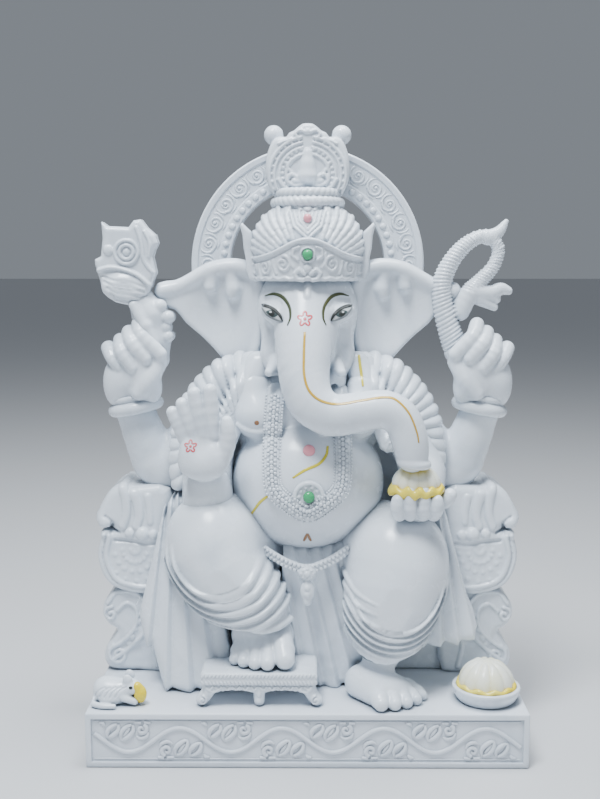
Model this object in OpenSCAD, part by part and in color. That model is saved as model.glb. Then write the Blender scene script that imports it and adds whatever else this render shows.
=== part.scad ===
// Seated elephant-headed idol carved in white marble, on a bordered plinth.
// Frame: +X to the viewer's right, +Y to the back, +Z up, origin under the middle of the plinth.
// Points of the figure are [x, y, height above the plinth's top, radius], all in millimetres.

/* [Plinth] */
// Width of the plinth
plinth_w = 420; // [400:1:520]
// Depth of the plinth, front to back
plinth_d = 200; // [200:1:260]
// Height of the plinth
plinth_h = 54; // [40:1:80]
// Height of the plain border above and below the carved panel
border_h = 7; // [4:1:10]
// Depth that the carved panel is sunk behind its border
panel_recess = 2.5; // [1:0.5:5]

/* [Throne] */
// Width of the seat block between the armrests
seat_w = 280; // [270:1:300]
// Height of the seat block
seat_h = 128; // [120:1:136]
// Front of the seat block, behind the middle of the plinth
seat_front = 14; // [8:1:24]
// Thickness of the back slab
back_t = 40; // [32:1:50]
// Height of the back slab above the seat
back_h = 190; // [180:1:200]
// Thickness of the armrest beasts, front to back
beast_t = 74; // [50:1:80]

/* [Halo] */
// Outer radius of the halo ring
halo_r = 119; // [112:1:145]
// Width of the halo's flat band
halo_band = 40; // [34:1:42]
// Thickness of the halo ring
halo_t = 22; // [16:1:28]
// Radius of one bead of the halo's inner row
halo_bead_r = 3.6; // [2.5:0.1:4.5]

/* [Crown] */
// Radius of the tiara band
band_r = 56; // [53:1:60]
// Height of the tiara band
band_h = 38; // [30:1:44]
// Radius of the collar under the crest
collar_r = 37; // [30:1:44]
// Height of the collar
collar_h = 12; // [8:1:16]
// Height of the crest above the collar
crest_h = 68; // [60:1:88]
// Radius of the two knobs beside the crest
knob_r = 9.5; // [7:0.5:12]

/* [Figure] */
// Half width of the belly
belly_rx = 76; // [64:1:90]
// Half depth of the belly
belly_ry = 62; // [52:1:68]
// Half height of the belly
belly_rz = 68; // [60:1:76]
// Radius of the knees
knee_r = 46; // [38:1:52]
// Thickness of the trunk against the one carved here
trunk_scale = 1; // [0.85:0.01:1.15]
// Thickness of the arms against the ones carved here
arm_scale = 1; // [0.85:0.01:1.15]
// Thickness of the ears
ear_t = 13; // [9:1:18]
// Radius of the garland's cord
garland_r = 8; // [6:0.5:10]
// Radius of the garland's medallion
medallion_r = 15; // [11:1:18]

/* [Footstool] */
// Width of the footstool's slab
stool_w = 112; // [100:1:120]
// Depth of the footstool's slab
stool_d = 86; // [76:1:90]
// Height of the footstool
stool_h = 34; // [28:1:40]
// Thickness of the footstool's slab
slab_t = 12; // [8:1:15]

/* [Offerings] */
// Radius of the offering bowl's rim
bowl_r = 33; // [26:1:36]
// Height of the offering bowl
bowl_h = 15; // [11:1:20]
// Radius of the heap of sweets in the hand
sweets_r = 23; // [19:1:27]
// Length of the mouse's body
mouse_l = 44; // [36:1:52]

/* [Hidden] */

marble = "whitesmoke";
ball_fn = 12;      // sides of a limb's spheres
egg_fn = 18;       // sides of the large rounded forms
reach = 400;       // longer than the whole idol, for half-space cuts

half_w = plinth_w / 2;
half_d = plinth_d / 2;
figure_z = plinth_h;

beast_front = -2;                          // front face of the armrests
beast_x = half_w + 8;                      // the snouts reach this far out
back_rear = half_d - 12;                   // rear face of seat and back slab
halo_z = 420;                              // height of the halo's centre above the plinth
halo_front = back_rear - 48;               // front face of the halo ring
halo_inner = halo_r - halo_band;
bead_row_r = halo_inner + 7;
bead_count = 36;

skull = [0, 10, 372];
skull_r = [50, 44, 56];
band_z = 406;                              // lower edge of the tiara band
dome_z = band_z + band_h;
dome_r = [band_r, band_r - 8, 38];
collar_z = dome_z + dome_r[2] - 6;
crest_z = collar_z + collar_h;
crest_y = 16;                              // middle of the crest
crest_t = (halo_front - crest_y) * 2;
crest_half_w = 42;
knob_x = 33.5;
knob_z = crest_z + crest_h - knob_r;

belly = [0, 0, 210];
belly_r = [belly_rx, belly_ry, belly_rz];

stool_x = -46;                             // middle of the footstool
stool_front = -88;

// ---------------------------------------------------------------- shared shapes

// One sphere of a limb.
module ball(p, fn = ball_fn) translate([p[0], p[1], p[2]]) sphere(r = p[3], $fn = fn);

// A limb: a row of spheres, each hulled to the next.
module limb(pts, fn = ball_fn)
    for (i = [0 : len(pts) - 2]) hull() { ball(pts[i], fn); ball(pts[i + 1], fn); }

// A closed rounded form with its own half width, depth and height.
module egg(c, r, fn = egg_fn) hull() translate(c) scale(r) sphere(r = 1, $fn = fn);

// A copy on the viewer's left of what is drawn on the right.
module on_left() mirror([1, 0, 0]) children();

// The points of a limb with every radius scaled.
function thick(pts, k) = [for (p = pts) [p[0], p[1], p[2], p[3] * k]];

// Front surface of the belly at x and height z.
function belly_y(x, z) = belly[1] - belly_r[1]
    * sqrt(max(0.04, 1 - pow(x / belly_r[0], 2) - pow((z - belly[2]) / belly_r[2], 2)));

// ---------------------------------------------------------------- plinth and throne

module plinth_form() translate([-half_w, -half_d, 0]) cube([plinth_w, plinth_d, plinth_h]);

// Rectangular block with a sunk panel on the front and both sides.
module plinth() color(marble) {
    panel_h = plinth_h - 2 * border_h;
    difference() {
        plinth_form();
        translate([-half_w + border_h, -half_d - 1, border_h])
            cube([plinth_w - 2 * border_h, panel_recess + 1, panel_h]);
        for (s = [-1, 1])
            translate([s * half_w - (s > 0 ? panel_recess : 1), -half_d + border_h, border_h])
                cube([panel_recess + 1, plinth_d - 2 * border_h, panel_h]);
    }
}

module seat_form() translate([-seat_w / 2, seat_front, 0])
    cube([seat_w, back_rear - seat_front, seat_h]);

module throne_seat() color(marble) translate([0, 0, figure_z]) seat_form();

module ring_form() translate([0, halo_front + halo_t, halo_z]) rotate([90, 0, 0])
    cylinder(r = halo_r, h = halo_t, $fn = 96);

// The space that the back slab fills, for the body to be cut to.
module slab_space() translate([-reach, back_rear - back_t, 0]) cube([2 * reach, reach, reach]);

// Slab behind the figure, stepped in to the width of the halo's foot, notched for the ring.
module throne_back() color(marble) translate([0, 0, figure_z]) {
    top = seat_h + back_h;
    difference() {
        translate([0, back_rear, 0]) rotate([90, 0, 0]) linear_extrude(back_t)
            polygon([[-seat_w / 2, seat_h], [seat_w / 2, seat_h], [seat_w / 2, seat_h + 62],
                     [92, seat_h + 104], [72, top], [-72, top], [-92, seat_h + 104],
                     [-seat_w / 2, seat_h + 62]]);
        ring_form();
    }
}

// Outline of one armrest beast: brow, snout, chin and jaw, on the +X side.
module beast_outline() {
    inner = seat_w / 2;
    translate([inner, seat_h]) square([beast_x - inner - 32, 68]);
    hull() { translate([beast_x - 28, 184]) circle(r = 14, $fn = 24);
             translate([beast_x - 12, 163]) circle(r = 12, $fn = 24);
             translate([inner + 30, 150]) circle(r = 18, $fn = 24); }
    translate([beast_x - 10, 148]) circle(r = 6, $fn = 20);
    hull() { translate([beast_x - 37, 118]) circle(r = 31, $fn = 32);
             translate([inner + 18, 112]) circle(r = 18, $fn = 24); }
}

module beast_form() translate([0, beast_front + beast_t, 0]) rotate([90, 0, 0])
    linear_extrude(beast_t) difference() {
        beast_outline();
        translate([seat_w / 2 - reach, 0]) square([reach, reach]);
    }

module armrest_right() color(marble) translate([0, 0, figure_z]) beast_form();
module armrest_left() color(marble) translate([0, 0, figure_z]) on_left() beast_form();

// Scrolled leg under the armrest: knee scroll, shank and foot scroll.
module throne_leg_form() translate([0, beast_front + beast_t - 4, 0]) rotate([90, 0, 0])
    linear_extrude(beast_t - 8) difference() {
        union() {
            translate([beast_x - 34, 62]) circle(r = 27, $fn = 32);
            hull() { translate([beast_x - 30, 40]) circle(r = 14, $fn = 24);
                     translate([beast_x - 26, 18]) circle(r = 18, $fn = 24); }
            translate([seat_w / 2, 0]) square([beast_x - seat_w / 2 - 36, 94]);
            translate([beast_x - 44, 0]) square([34, 14]);
        }
        beast_outline();
        translate([0, -reach]) square([reach, reach]);
        translate([seat_w / 2 - reach, 0]) square([reach, reach]);
    }

module throne_leg_right() color(marble) translate([0, 0, figure_z]) throne_leg_form();
module throne_leg_left() color(marble) translate([0, 0, figure_z]) on_left() throne_leg_form();

// ---------------------------------------------------------------- halo

// Flat ring behind the head; a true revolve, so its hole is a true bore.
module halo_hole() translate([0, halo_front - 1, halo_z]) rotate([-90, 0, 0])
    cylinder(r = halo_inner, h = halo_t + 2, $fn = 96);

module halo_ring() color(marble) translate([0, 0, figure_z]) difference() {
    ring_form();
    halo_hole();
}

// Half-round beads along the ring's inner edge, set on its front face on both sides of the crest.
module halo_beads() color(marble) translate([0, 0, figure_z])
    for (i = [0 : bead_count - 1]) {
        a = -24 + i * 228 / (bead_count - 1);
        x = bead_row_r * cos(a);
        if (abs(x) > crest_half_w + 2 * halo_bead_r)
            translate([x, halo_front, halo_z + bead_row_r * sin(a)]) difference() {
                sphere(r = halo_bead_r, $fn = 20);
                translate([-10, 0, -10]) cube(20);
            }
    }

// ---------------------------------------------------------------- body and head

module torso_form() {
    egg(belly, belly_r);
    egg([0, 16, 270], [82, 44, 50]);
    egg([0, 14, 306], [46, 34, 40]);
}

module torso() color(marble) translate([0, 0, figure_z]) difference() {
    torso_form();
    seat_form();
    ring_form();
    slab_space();
}

module head_form() {
    egg(skull, skull_r);
    egg([0, -8, 366], [45, 36, 44]);
    egg([-27, -8, 338], [20, 24, 26], 14);
    egg([27, -8, 338], [20, 24, 26], 14);
}

module head() color(marble) translate([0, 0, figure_z]) difference() {
    head_form();
    torso_form();
    difference() { ring_form(); halo_hole(); }
}

trunk_path = thick([[-2, -26, 362, 27], [-3, -36, 339, 27], [-3, -48, 313, 24], [4, -58, 290, 22],
    [23, -62, 279, 20], [47, -65, 282, 18.5], [71, -67, 285, 17.5], [88, -67, 276, 17],
    [96, -67, 257, 17], [99, -66, 238, 16]], trunk_scale);

module trunk_form() limb(trunk_path);

module trunk() color(marble) translate([0, 0, figure_z]) difference() {
    trunk_form();
    head_form();
    torso_form();
}

module tusk_form() limb([[27, -24, 322, 8], [32, -34, 316, 6], [35, -42, 318, 4.5]]);

module tusk() translate([0, 0, figure_z]) difference() {
    tusk_form();
    head_form();
}

module tusk_right() color(marble) difference() {
    tusk();
    translate([0, 0, figure_z]) trunk_form();
}

module tusk_left() color(marble) difference() {
    on_left() tusk();
    translate([0, 0, figure_z]) trunk_form();
}

// Fanned ear, with its tip drawn out towards the attribute held beside it.
module ear_form() translate([0, 6 + ear_t, 0]) rotate([90, 0, 0]) linear_extrude(ear_t)
    polygon([[42, 420], [57, 423], [75, 427], [102, 423], [122, 411], [149, 400], [149, 380],
             [131, 371], [108, 350], [90, 330], [66, 307], [54, 316], [44, 340]]);

module ear_right() color(marble) translate([0, 0, figure_z]) difference() {
    ear_form();
    head_form();
    torso_form();
    trunk_form();
}

module ear_left() color(marble) translate([0, 0, figure_z]) difference() {
    on_left() ear_form();
    head_form();
    torso_form();
}

// ---------------------------------------------------------------- crown

module band_form() translate([0, skull[1] - 2, band_z]) cylinder(r = band_r, h = band_h, $fn = 48);

module crown_band() color(marble) translate([0, 0, figure_z]) difference() {
    band_form();
    head_form();
    ear_form();
    on_left() ear_form();
}

module dome_form() egg([0, skull[1] - 2, dome_z], dome_r);

module crown_dome() color(marble) translate([0, 0, figure_z]) difference() {
    dome_form();
    translate([-reach, -reach, dome_z - reach]) cube([2 * reach, 2 * reach, reach]);
}

// Upswept tabs at both ends of the tiara.
module wing_form() translate([0, 12, 0]) rotate([90, 0, 0]) linear_extrude(16)
    polygon([[band_r - 8, band_z + 2], [band_r + 3, band_z + 2], [band_r + 9, dome_z - 12],
             [band_r + 8.5, dome_z + 14], [band_r - 4, dome_z - 4]]);

module crown_wings() color(marble) translate([0, 0, figure_z]) for (s = [0, 1]) mirror([s, 0, 0])
    difference() {
        wing_form();
        band_form();
        dome_form();
        ear_form();
    }

module collar_form() translate([0, skull[1], collar_z])
    rotate_extrude($fn = 48) {
        square([collar_r - collar_h / 3, collar_h]);
        translate([collar_r - collar_h / 2, collar_h / 2]) circle(r = collar_h / 2, $fn = 24);
    }

module crown_collar() color(marble) translate([0, 0, figure_z]) difference() {
    collar_form();
    dome_form();
}

// Fan-shaped crest: narrow at the collar, widest at a third of its height, lobed on top.
module crest_form() translate([0, crest_y + crest_t / 2, crest_z]) rotate([90, 0, 0])
    linear_extrude(crest_t)
        for (s = [0, 1]) mirror([s, 0, 0])
            polygon([[0, 0], [32, 0], [39, crest_h * 0.16], [crest_half_w, crest_h * 0.36],
                     [40, crest_h * 0.62], [34, crest_h * 0.8], [22, crest_h * 0.84],
                     [11, crest_h * 0.98], [0, crest_h]]);

module crown_crest() color(marble) translate([0, 0, figure_z]) crest_form();

module crown_knobs() color(marble) translate([0, 0, figure_z]) for (s = [-1, 1])
    difference() {
        translate([s * knob_x, crest_y, knob_z]) sphere(r = knob_r, $fn = 32);
        crest_form();
    }

// ---------------------------------------------------------------- arms and what they hold

shawl_path = [[44, 22, 318, 16], [80, 16, 318, 19], [108, 12, 298, 19], [120, 4, 270, 17],
              [124, -4, 238, 14], [126, -8, 205, 12]];

module shawl_form() limb(shawl_path);

module shawl_cut() { torso_form(); ear_form(); on_left() ear_form(); ring_form(); seat_form(); head_form(); }

module shawl_right() color(marble) translate([0, 0, figure_z]) difference() {
    shawl_form();
    shawl_cut();
    beast_form();
    trunk_form();
    hand_cup_form();
    leg_right_form();
}

module shawl_left() color(marble) translate([0, 0, figure_z]) difference() {
    on_left() shawl_form();
    shawl_cut();
    on_left() beast_form();
    leg_left_form();
}

rear_arm_path = thick([[86, 26, 280, 24], [124, 26, 236, 24], [154, 26, 212, 25], [168, 22, 241, 22],
                       [178, 17, 270, 18]], arm_scale);

module rear_arm_form() limb(rear_arm_path);

module rear_arm_right() color(marble) translate([0, 0, figure_z]) difference() {
    rear_arm_form();
    beast_form();
    torso_form();
    shawl_form();
    seat_form();
    slab_space();
    offering_arm_form();
}

module rear_arm_left() color(marble) translate([0, 0, figure_z]) difference() {
    on_left() rear_arm_form();
    on_left() beast_form();
    torso_form();
    on_left() shawl_form();
    seat_form();
    slab_space();
    blessing_arm_form();
}

// Closed fist on the forearm: palm and four fingers laid across it.
module rear_hand_form() {
    limb(thick([[180, 15, 284, 20], [178, 13, 310, 23], [166, 11, 335, 20]], arm_scale));
    for (i = [0 : 3])
        limb([[192 - 10 * i, -2, 330 + 8 * i, 7], [176 - 9 * i, -12, 318 + 10 * i, 7]]);
    limb([[196, 6, 300, 8], [199, 2, 325, 8]]);
}

module rear_hand(side) translate([0, 0, figure_z]) mirror([side, 0, 0]) difference() {
    rear_hand_form();
    rear_arm_form();
}

module rear_hand_right() color(marble) rear_hand(0);
module rear_hand_left() color(marble) rear_hand(1);

bangle_t = 5;      // half thickness of a bangle

// A ring round a limb at point p, its axis tilted by a degrees about Y and b about X.
module bangle(p, r, a, b) translate(p) rotate([b, a, 0])
    rotate_extrude($fn = 24) translate([r, 0]) circle(r = bangle_t, $fn = 8);

// One bangle on each rear wrist and one on the raised front wrist, cut to sit round the stone inside.
module bangles() color(marble) translate([0, 0, figure_z]) {
    for (s = [0, 1]) mirror([s, 0, 0]) difference() {
        bangle([178, 17, 276], 20 * arm_scale, 14, 0);
        rear_arm_form();
        rear_hand_form();
    }
    difference() {
        bangle([-95, -52, 214], 22 * arm_scale, 0, 20);
        blessing_arm_form();
        blessing_hand_form();
        torso_form();
        leg_left_form();
        on_left() shawl_form();
    }
}

axe_t = 24;        // thickness of the axe head

// Square-shouldered axe head with a horn at each upper corner and a rounded lower edge.
module axe_head_form() translate([0, axe_t - 4, 0]) rotate([90, 0, 0]) linear_extrude(axe_t)
    polygon([[-204, 461], [-198, 456], [-170, 456], [-165, 464], [-155, 462], [-151, 449], [-145, 443],
             [-150, 434], [-151, 408], [-158, 388], [-172, 380], [-188, 382], [-202, 392], [-204, 411],
             [-211, 420], [-205, 425]]);

module axe_head() color(marble) translate([0, 0, figure_z]) axe_head_form();

module axe_handle_form() limb([[-168, 9, 388, 13], [-158, 10, 368, 17], [-154, 11, 345, 16],
                               [-151, 11, 326, 12]]);

module axe_handle() color(marble) translate([0, 0, figure_z]) difference() {
    axe_handle_form();
    axe_head_form();
    on_left() rear_hand_form();
    on_left() ear_form();
}

// Looped rope: up from the hand, over, back to itself, with a leaf tip and a forked tail.
noose_path = [[150, 10, 334, 12], [142, 9, 355, 11], [135, 8, 380, 10], [134, 8, 402, 9.5],
              [142, 8, 422, 9], [155, 8, 438, 8], [170, 8, 447, 7.5], [182, 8, 446, 7],
              [188, 8, 434, 7], [184, 8, 418, 7], [172, 8, 404, 8], [161, 8, 392, 9], [152, 9, 374, 10]];

module noose() color(marble) translate([0, 0, figure_z]) difference() {
    union() {
        limb(noose_path);
        limb([[180, 8, 447, 7], [189, 8, 454, 6], [195, 8, 461, 3.5]]);
        limb([[166, 8, 391, 9], [184, 8, 390, 7], [198, 8, 394, 5]]);
        limb([[166, 8, 391, 9], [182, 8, 378, 5]]);
    }
    rear_hand_form();
    ear_form();
}

module blessing_arm_form() limb(thick([[-92, 8, 276, 22], [-100, -12, 215, 23], [-97, -32, 186, 23],
                                       [-94, -52, 212, 20]], arm_scale));

module blessing_arm() color(marble) translate([0, 0, figure_z]) difference() {
    blessing_arm_form();
    torso_form();
    leg_left_form();
    on_left() shawl_form();
    on_left() beast_form();
}

// Raised open palm, fingers up, thumb beside the forefinger.
module blessing_hand_form() {
    hull() {
        ball([-113, -58, 263, 9]);
        ball([-87, -58, 263, 9]);
        ball([-107, -58, 222, 13]);
        ball([-84, -58, 224, 13]);
    }
    limb([[-116, -58, 262, 6], [-127, -62, 283, 5.5]]);
    limb([[-109, -58, 264, 6.5], [-118, -62, 291, 6]]);
    limb([[-100, -58, 266, 7], [-108, -62, 303, 6]]);
    limb([[-91, -58, 266, 7], [-92, -62, 306, 6]]);
    limb([[-80, -60, 232, 9], [-75, -62, 256, 8], [-75, -64, 274, 6]]);
}

module blessing_hand() color(marble) translate([0, 0, figure_z]) difference() {
    blessing_hand_form();
    blessing_arm_form();
    torso_form();
    on_left() shawl_form();
    leg_left_form();
    garland_form();
}

module offering_arm_form() limb(thick([[90, 8, 276, 22], [116, -4, 218, 22], [110, -30, 192, 20],
                                       [106, -46, 188, 18]], arm_scale));

module offering_arm() color(marble) translate([0, 0, figure_z]) difference() {
    offering_arm_form();
    torso_form();
    shawl_form();
    leg_right_form();
    beast_form();
    hand_cup_form();
    trunk_form();
}

// Cupped hand: a shallow palm and four upright fingers, with the thumb at the side.
module hand_cup_form() {
    hull() { ball([90, -58, 188, 12]); ball([118, -58, 188, 12]); ball([104, -44, 184, 12]); }
    for (i = [0 : 3]) limb([[86 + 12 * i, -66, 184, 7.5], [86 + 12 * i, -72, 202, 6]]);
    limb([[122, -56, 192, 8], [131, -60, 200, 7]]);
}

module offering_hand() color(marble) translate([0, 0, figure_z]) difference() {
    hand_cup_form();
    torso_form();
    leg_right_form();
}

module hand_sweets() color("khaki") translate([0, 0, figure_z]) difference() {
    egg([104, -58, 210], [sweets_r, sweets_r - 5, sweets_r - 4], 20);
    hand_cup_form();
    offering_arm_form();
    trunk_form();
    torso_form();
    shawl_form();
    leg_right_form();
}

// ---------------------------------------------------------------- ornaments of the body

garland_half = 34;       // half width of the garland's loop
garland_bend_z = 228;    // where the loop starts to turn in
garland_drop = 40;

// The loop: straight down each side of the chest, then round under the medallion.
function garland_pt(i) =
    let (a = (i - 6) * 15, x = garland_half * sin(a), z = garland_bend_z - garland_drop * cos(a))
    [x, min(belly_y(x, z), -30) - 1, z, garland_r];

garland_side = [[1, -22, 296], [1, -34, 262]];

module garland_form() {
    limb([for (i = [0 : 12]) garland_pt(i)], 10);
    for (s = [-1, 1])
        limb(concat([for (p = garland_side) [s * garland_half * p[0], p[1], p[2], garland_r]],
                    [garland_pt(s < 0 ? 0 : 12)]), 10);
}

module garland() color(marble) translate([0, 0, figure_z]) difference() {
    garland_form();
    torso_form();
    trunk_form();
    head_form();
    medallion_form();
}

medallion_at = [0, belly_y(0, 201), 201];

module medallion_form() translate(medallion_at) rotate([90, 0, 0])
    translate([0, 0, -12]) cylinder(r = medallion_r, h = 18, $fn = 40);

module medallion() color(marble) translate([0, 0, figure_z]) difference() {
    medallion_form();
    torso_form();
}

gem_r = 5;

module gem_at(p, r) translate(p) difference() {
    sphere(r = r, $fn = 20);
    translate([-20, 0, -20]) cube(40);
}

// Green stones: one on the medallion, one on the tiara.
module green_gems() color("seagreen") translate([0, 0, figure_z]) {
    gem_at([0, medallion_at[1] - 6, medallion_at[2]], gem_r);
    gem_at([0, skull[1] - 2 - band_r, band_z + band_h - 12], gem_r - 1);
}

// Pink stones: one on the chest under the trunk, one on the front of the dome.
module pink_gems() color("lightpink") translate([0, 0, figure_z]) {
    difference() {
        translate([0, belly_y(0, 246), 246]) sphere(r = gem_r, $fn = 20);
        torso_form();
        trunk_form();
    }
    difference() {
        translate([0, skull[1] - 2 - dome_r[1] * 0.86, dome_z + 15]) sphere(r = gem_r, $fn = 20);
        dome_form();
    }
}

// Beaded girdle under the belly.
belt_path = [[-62, -14, 152, 5], [-46, -36, 141, 5], [-24, -50, 131, 5.5], [0, -54, 126, 6],
             [24, -50, 131, 5.5], [46, -36, 143, 5], [62, -14, 156, 5]];

module belt_form() limb(belt_path, 10);

module belt() color(marble) translate([0, 0, figure_z]) difference() {
    belt_form();
    torso_form();
    leg_left_form();
    leg_right_form();
}

module belt_pendant() color(marble) translate([0, 0, figure_z]) difference() {
    limb([[0, -56, 118, 6], [0, -56, 104, 8], [0, -55, 96, 6]]);
    belt_form();
    leg_left_form();
    leg_right_form();
}

// ---------------------------------------------------------------- legs and cloth

leg_left_path = [[-56, 14, 140, 42], [-96, -34, 148, knee_r], [-76, -42, 112, 36],
                 [-56, -42, 82, 30], [-46, -36, 56, 22]];
leg_right_path = [[54, 14, 138, 42], [90, -32, 128, knee_r + 3], [84, -40, 86, 42],
                  [80, -44, 56, 30], [76, -40, 34, 24]];

module leg_left_form() limb(leg_left_path, 16);
module leg_right_form() limb(leg_right_path, 16);

module leg_cut() { torso_form(); seat_form(); slab_space(); }

module leg_left() color(marble) translate([0, 0, figure_z]) difference() {
    leg_left_form();
    leg_cut();
    stool_form();
}

module leg_right() color(marble) translate([0, 0, figure_z]) difference() {
    leg_right_form();
    leg_cut();
    foot_right_form();
}

// Foot on the stool, toes towards the front.
module foot_left_form() {
    z = stool_h;
    hull() { ball([-45, -24, z + 16, 15]); ball([-62, -42, z + 10, 9]); ball([-38, -48, z + 12, 11]); }
    limb([[-62, -42, z + 9, 8], [-72, -44, z + 5, 5]]);
    limb([[-56, -46, z + 9, 8], [-64, -56, z + 5.5, 5.5]]);
    limb([[-50, -48, z + 10, 8], [-54, -63, z + 5.5, 5.5]]);
    limb([[-42, -50, z + 10, 9], [-43, -67, z + 6, 6]]);
    limb([[-32, -48, z + 11, 10], [-29, -64, z + 8, 8]]);
}

module foot_left() color(marble) translate([0, 0, figure_z]) difference() {
    foot_left_form();
    leg_left_form();
    stool_form();
}

// Foot on the plinth, turned out to the right.
module foot_right_form() {
    hull() { ball([46, -40, 15, 13]); ball([70, -66, 9, 9]); ball([92, -58, 10, 9]); }
    limb([[66, -66, 9, 9], [60, -86, 8, 8]]);
    limb([[74, -70, 8, 7], [75, -90, 6, 6]]);
    limb([[84, -68, 8, 7], [90, -89, 5.5, 5.5]]);
    limb([[91, -62, 8, 7], [103, -81, 5, 5.5]]);
    limb([[94, -56, 8, 7], [112, -68, 5, 5]]);
}

module below_top() translate([-reach, -reach, -reach]) cube([2 * reach, 2 * reach, reach]);

module foot_right() color(marble) translate([0, 0, figure_z]) difference() {
    foot_right_form();
    below_top();
}

drape_pleats = 5;

// Cloth hanging from the knee to the plinth beside the left leg, flaring forward as it falls.
module side_drape_left() color(marble) translate([0, 0, figure_z]) difference() {
    for (i = [0 : drape_pleats - 1])
        limb([[-148 + 4 * i, -8, 186 - 3 * i, 11], [-156 + 8 * i, -22 - 3 * i, 90, 12],
              [-160 + 14 * i, -34 - 8 * i, 4, 12]]);
    leg_left_form();
    seat_form();
    on_left() beast_form();
    on_left() throne_leg_form();
    stool_form();
    blessing_arm_form();
    on_left() shawl_form();
    below_top();
}

// Shorter cloth beside the right leg.
module side_drape_right() color(marble) translate([0, 0, figure_z]) difference() {
    for (i = [0 : drape_pleats - 1])
        limb([[136 + 5 * i, -10, 178 - 2 * i, 11], [134 + 8 * i, -18, 110, 12],
              [132 + 10 * i, -24, 54 + i, 11]]);
    leg_right_form();
    seat_form();
    beast_form();
    throne_leg_form();
    shawl_form();
    offering_arm_form();
}

// Two pleats falling from the girdle between the legs.
module centre_sash() color(marble) translate([0, 0, figure_z]) difference() {
    limb([[0, -38, 130, 16], [8, -30, 90, 17], [20, -26, 40, 18], [26, -24, 6, 19]]);
    limb([[-8, -34, 126, 12], [0, -20, 60, 16], [4, 2, 10, 16]]);
    torso_form();
    leg_left_form();
    leg_right_form();
    belt_form();
    seat_form();
    stool_form();
    foot_right_form();
    limb([[0, -56, 118, 6], [0, -56, 104, 8], [0, -55, 96, 6]]);
    below_top();
}

// ---------------------------------------------------------------- footstool

module slab_form() translate([stool_x - stool_w / 2, stool_front, stool_h - slab_t])
    cube([stool_w, stool_d, slab_t]);

// Everything that the footstool fills, for the cloth and the foot to be cut to.
module stool_form() translate([stool_x - stool_w / 2, stool_front, 0]) cube([stool_w, stool_d, stool_h]);

module stool_top() color(marble) translate([0, 0, figure_z]) slab_form();

apron_h = 9;
apron_inset = 4;
scallop_r = 22;

// Scalloped skirt under the slab, open at the back.
module stool_apron() color(marble) translate([0, 0, figure_z]) difference() {
    z = stool_h - slab_t - apron_h;
    translate([stool_x - stool_w / 2 + apron_inset, stool_front + apron_inset, z])
        cube([stool_w - 2 * apron_inset, stool_d - 2 * apron_inset, apron_h]);
    for (s = [-1, 1]) translate([stool_x + s * stool_w / 4, stool_front - 1, z - scallop_r + 4])
        rotate([-90, 0, 0]) cylinder(r = scallop_r, h = stool_d + 2, $fn = 64);
}

// Four splayed legs at the corners and one under the middle of the front.
module stool_legs() color(marble) translate([0, 0, figure_z]) {
    z = stool_h - slab_t - apron_h;
    y0 = stool_front + 9;
    y1 = stool_front + stool_d - 10;
    for (y = [y0, y1], s = [-1, 1]) translate([stool_x + s * (stool_w / 2 - 9), y, 0])
        cylinder(r1 = 9, r2 = 6, h = z, $fn = 32);
    translate([stool_x, y0, 0]) cylinder(r1 = 8, r2 = 6, h = z, $fn = 32);
}

// ---------------------------------------------------------------- mouse and offerings

mouse_x = 44 - half_w;     // the mouse keeps to the plinth's front left corner
mouse_y = 26 - half_d;
mouse_k = mouse_l / 44;

module mouse_form() {
    k = mouse_k;
    egg([mouse_x - 16, mouse_y, 11 * k], [17 * k, 13 * k, 13 * k], 14);
    limb([[mouse_x - 8, mouse_y, 12 * k, 9 * k], [mouse_x + 4, mouse_y - 2, 14 * k, 8 * k],
          [mouse_x + 12, mouse_y - 4, 12 * k, 4 * k]]);
    for (s = [-1, 1]) limb([[mouse_x + 2, mouse_y + 7 * s, 20 * k, 3 * k],
                            [mouse_x - 1, mouse_y + 9 * s, 25 * k, 3.5 * k]]);
    for (s = [-1, 1]) limb([[mouse_x - 2, mouse_y + 8 * s, 5 * k, 4 * k],
                            [mouse_x + 8, mouse_y + 7 * s, 3 * k, 3 * k]]);
}

module mouse() color(marble) translate([0, 0, figure_z]) difference() {
    mouse_form();
    below_top();
    on_left() throne_leg_form();
}

module mouse_sweet() color("gold") translate([0, 0, figure_z]) difference() {
    translate([mouse_x + 17, mouse_y - 3, 7]) sphere(r = 7, $fn = 24);
    mouse_form();
}

bowl_x = half_w - 36;      // the bowl keeps to the plinth's front right corner
bowl_y = 37 - half_d;
bowl_wall = 4;
bowl_floor = 5;

// Round dish with a hollow for the sweets.
module offering_bowl() color(marble) translate([bowl_x, bowl_y, figure_z]) rotate_extrude($fn = 64)
    polygon([[0, 0], [bowl_r * 0.72, 0], [bowl_r * 0.92, bowl_h * 0.35], [bowl_r, bowl_h * 0.75],
             [bowl_r, bowl_h], [bowl_r - bowl_wall, bowl_h], [bowl_r - bowl_wall - 3, bowl_floor],
             [0, bowl_floor]]);

// Heap that fills the bowl.
module bowl_sweets() color("lightyellow") translate([bowl_x, bowl_y, figure_z])
    rotate_extrude($fn = 64)
        polygon([[0, bowl_floor], [bowl_r - bowl_wall - 3, bowl_floor],
                 [bowl_r - bowl_wall, bowl_h], [bowl_r * 0.72, bowl_h + 9],
                 [bowl_r * 0.45, bowl_h + 19], [bowl_r * 0.15, bowl_h + 24], [0, bowl_h + 24.5]]);

// ---------------------------------------------------------------- nodes

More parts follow.
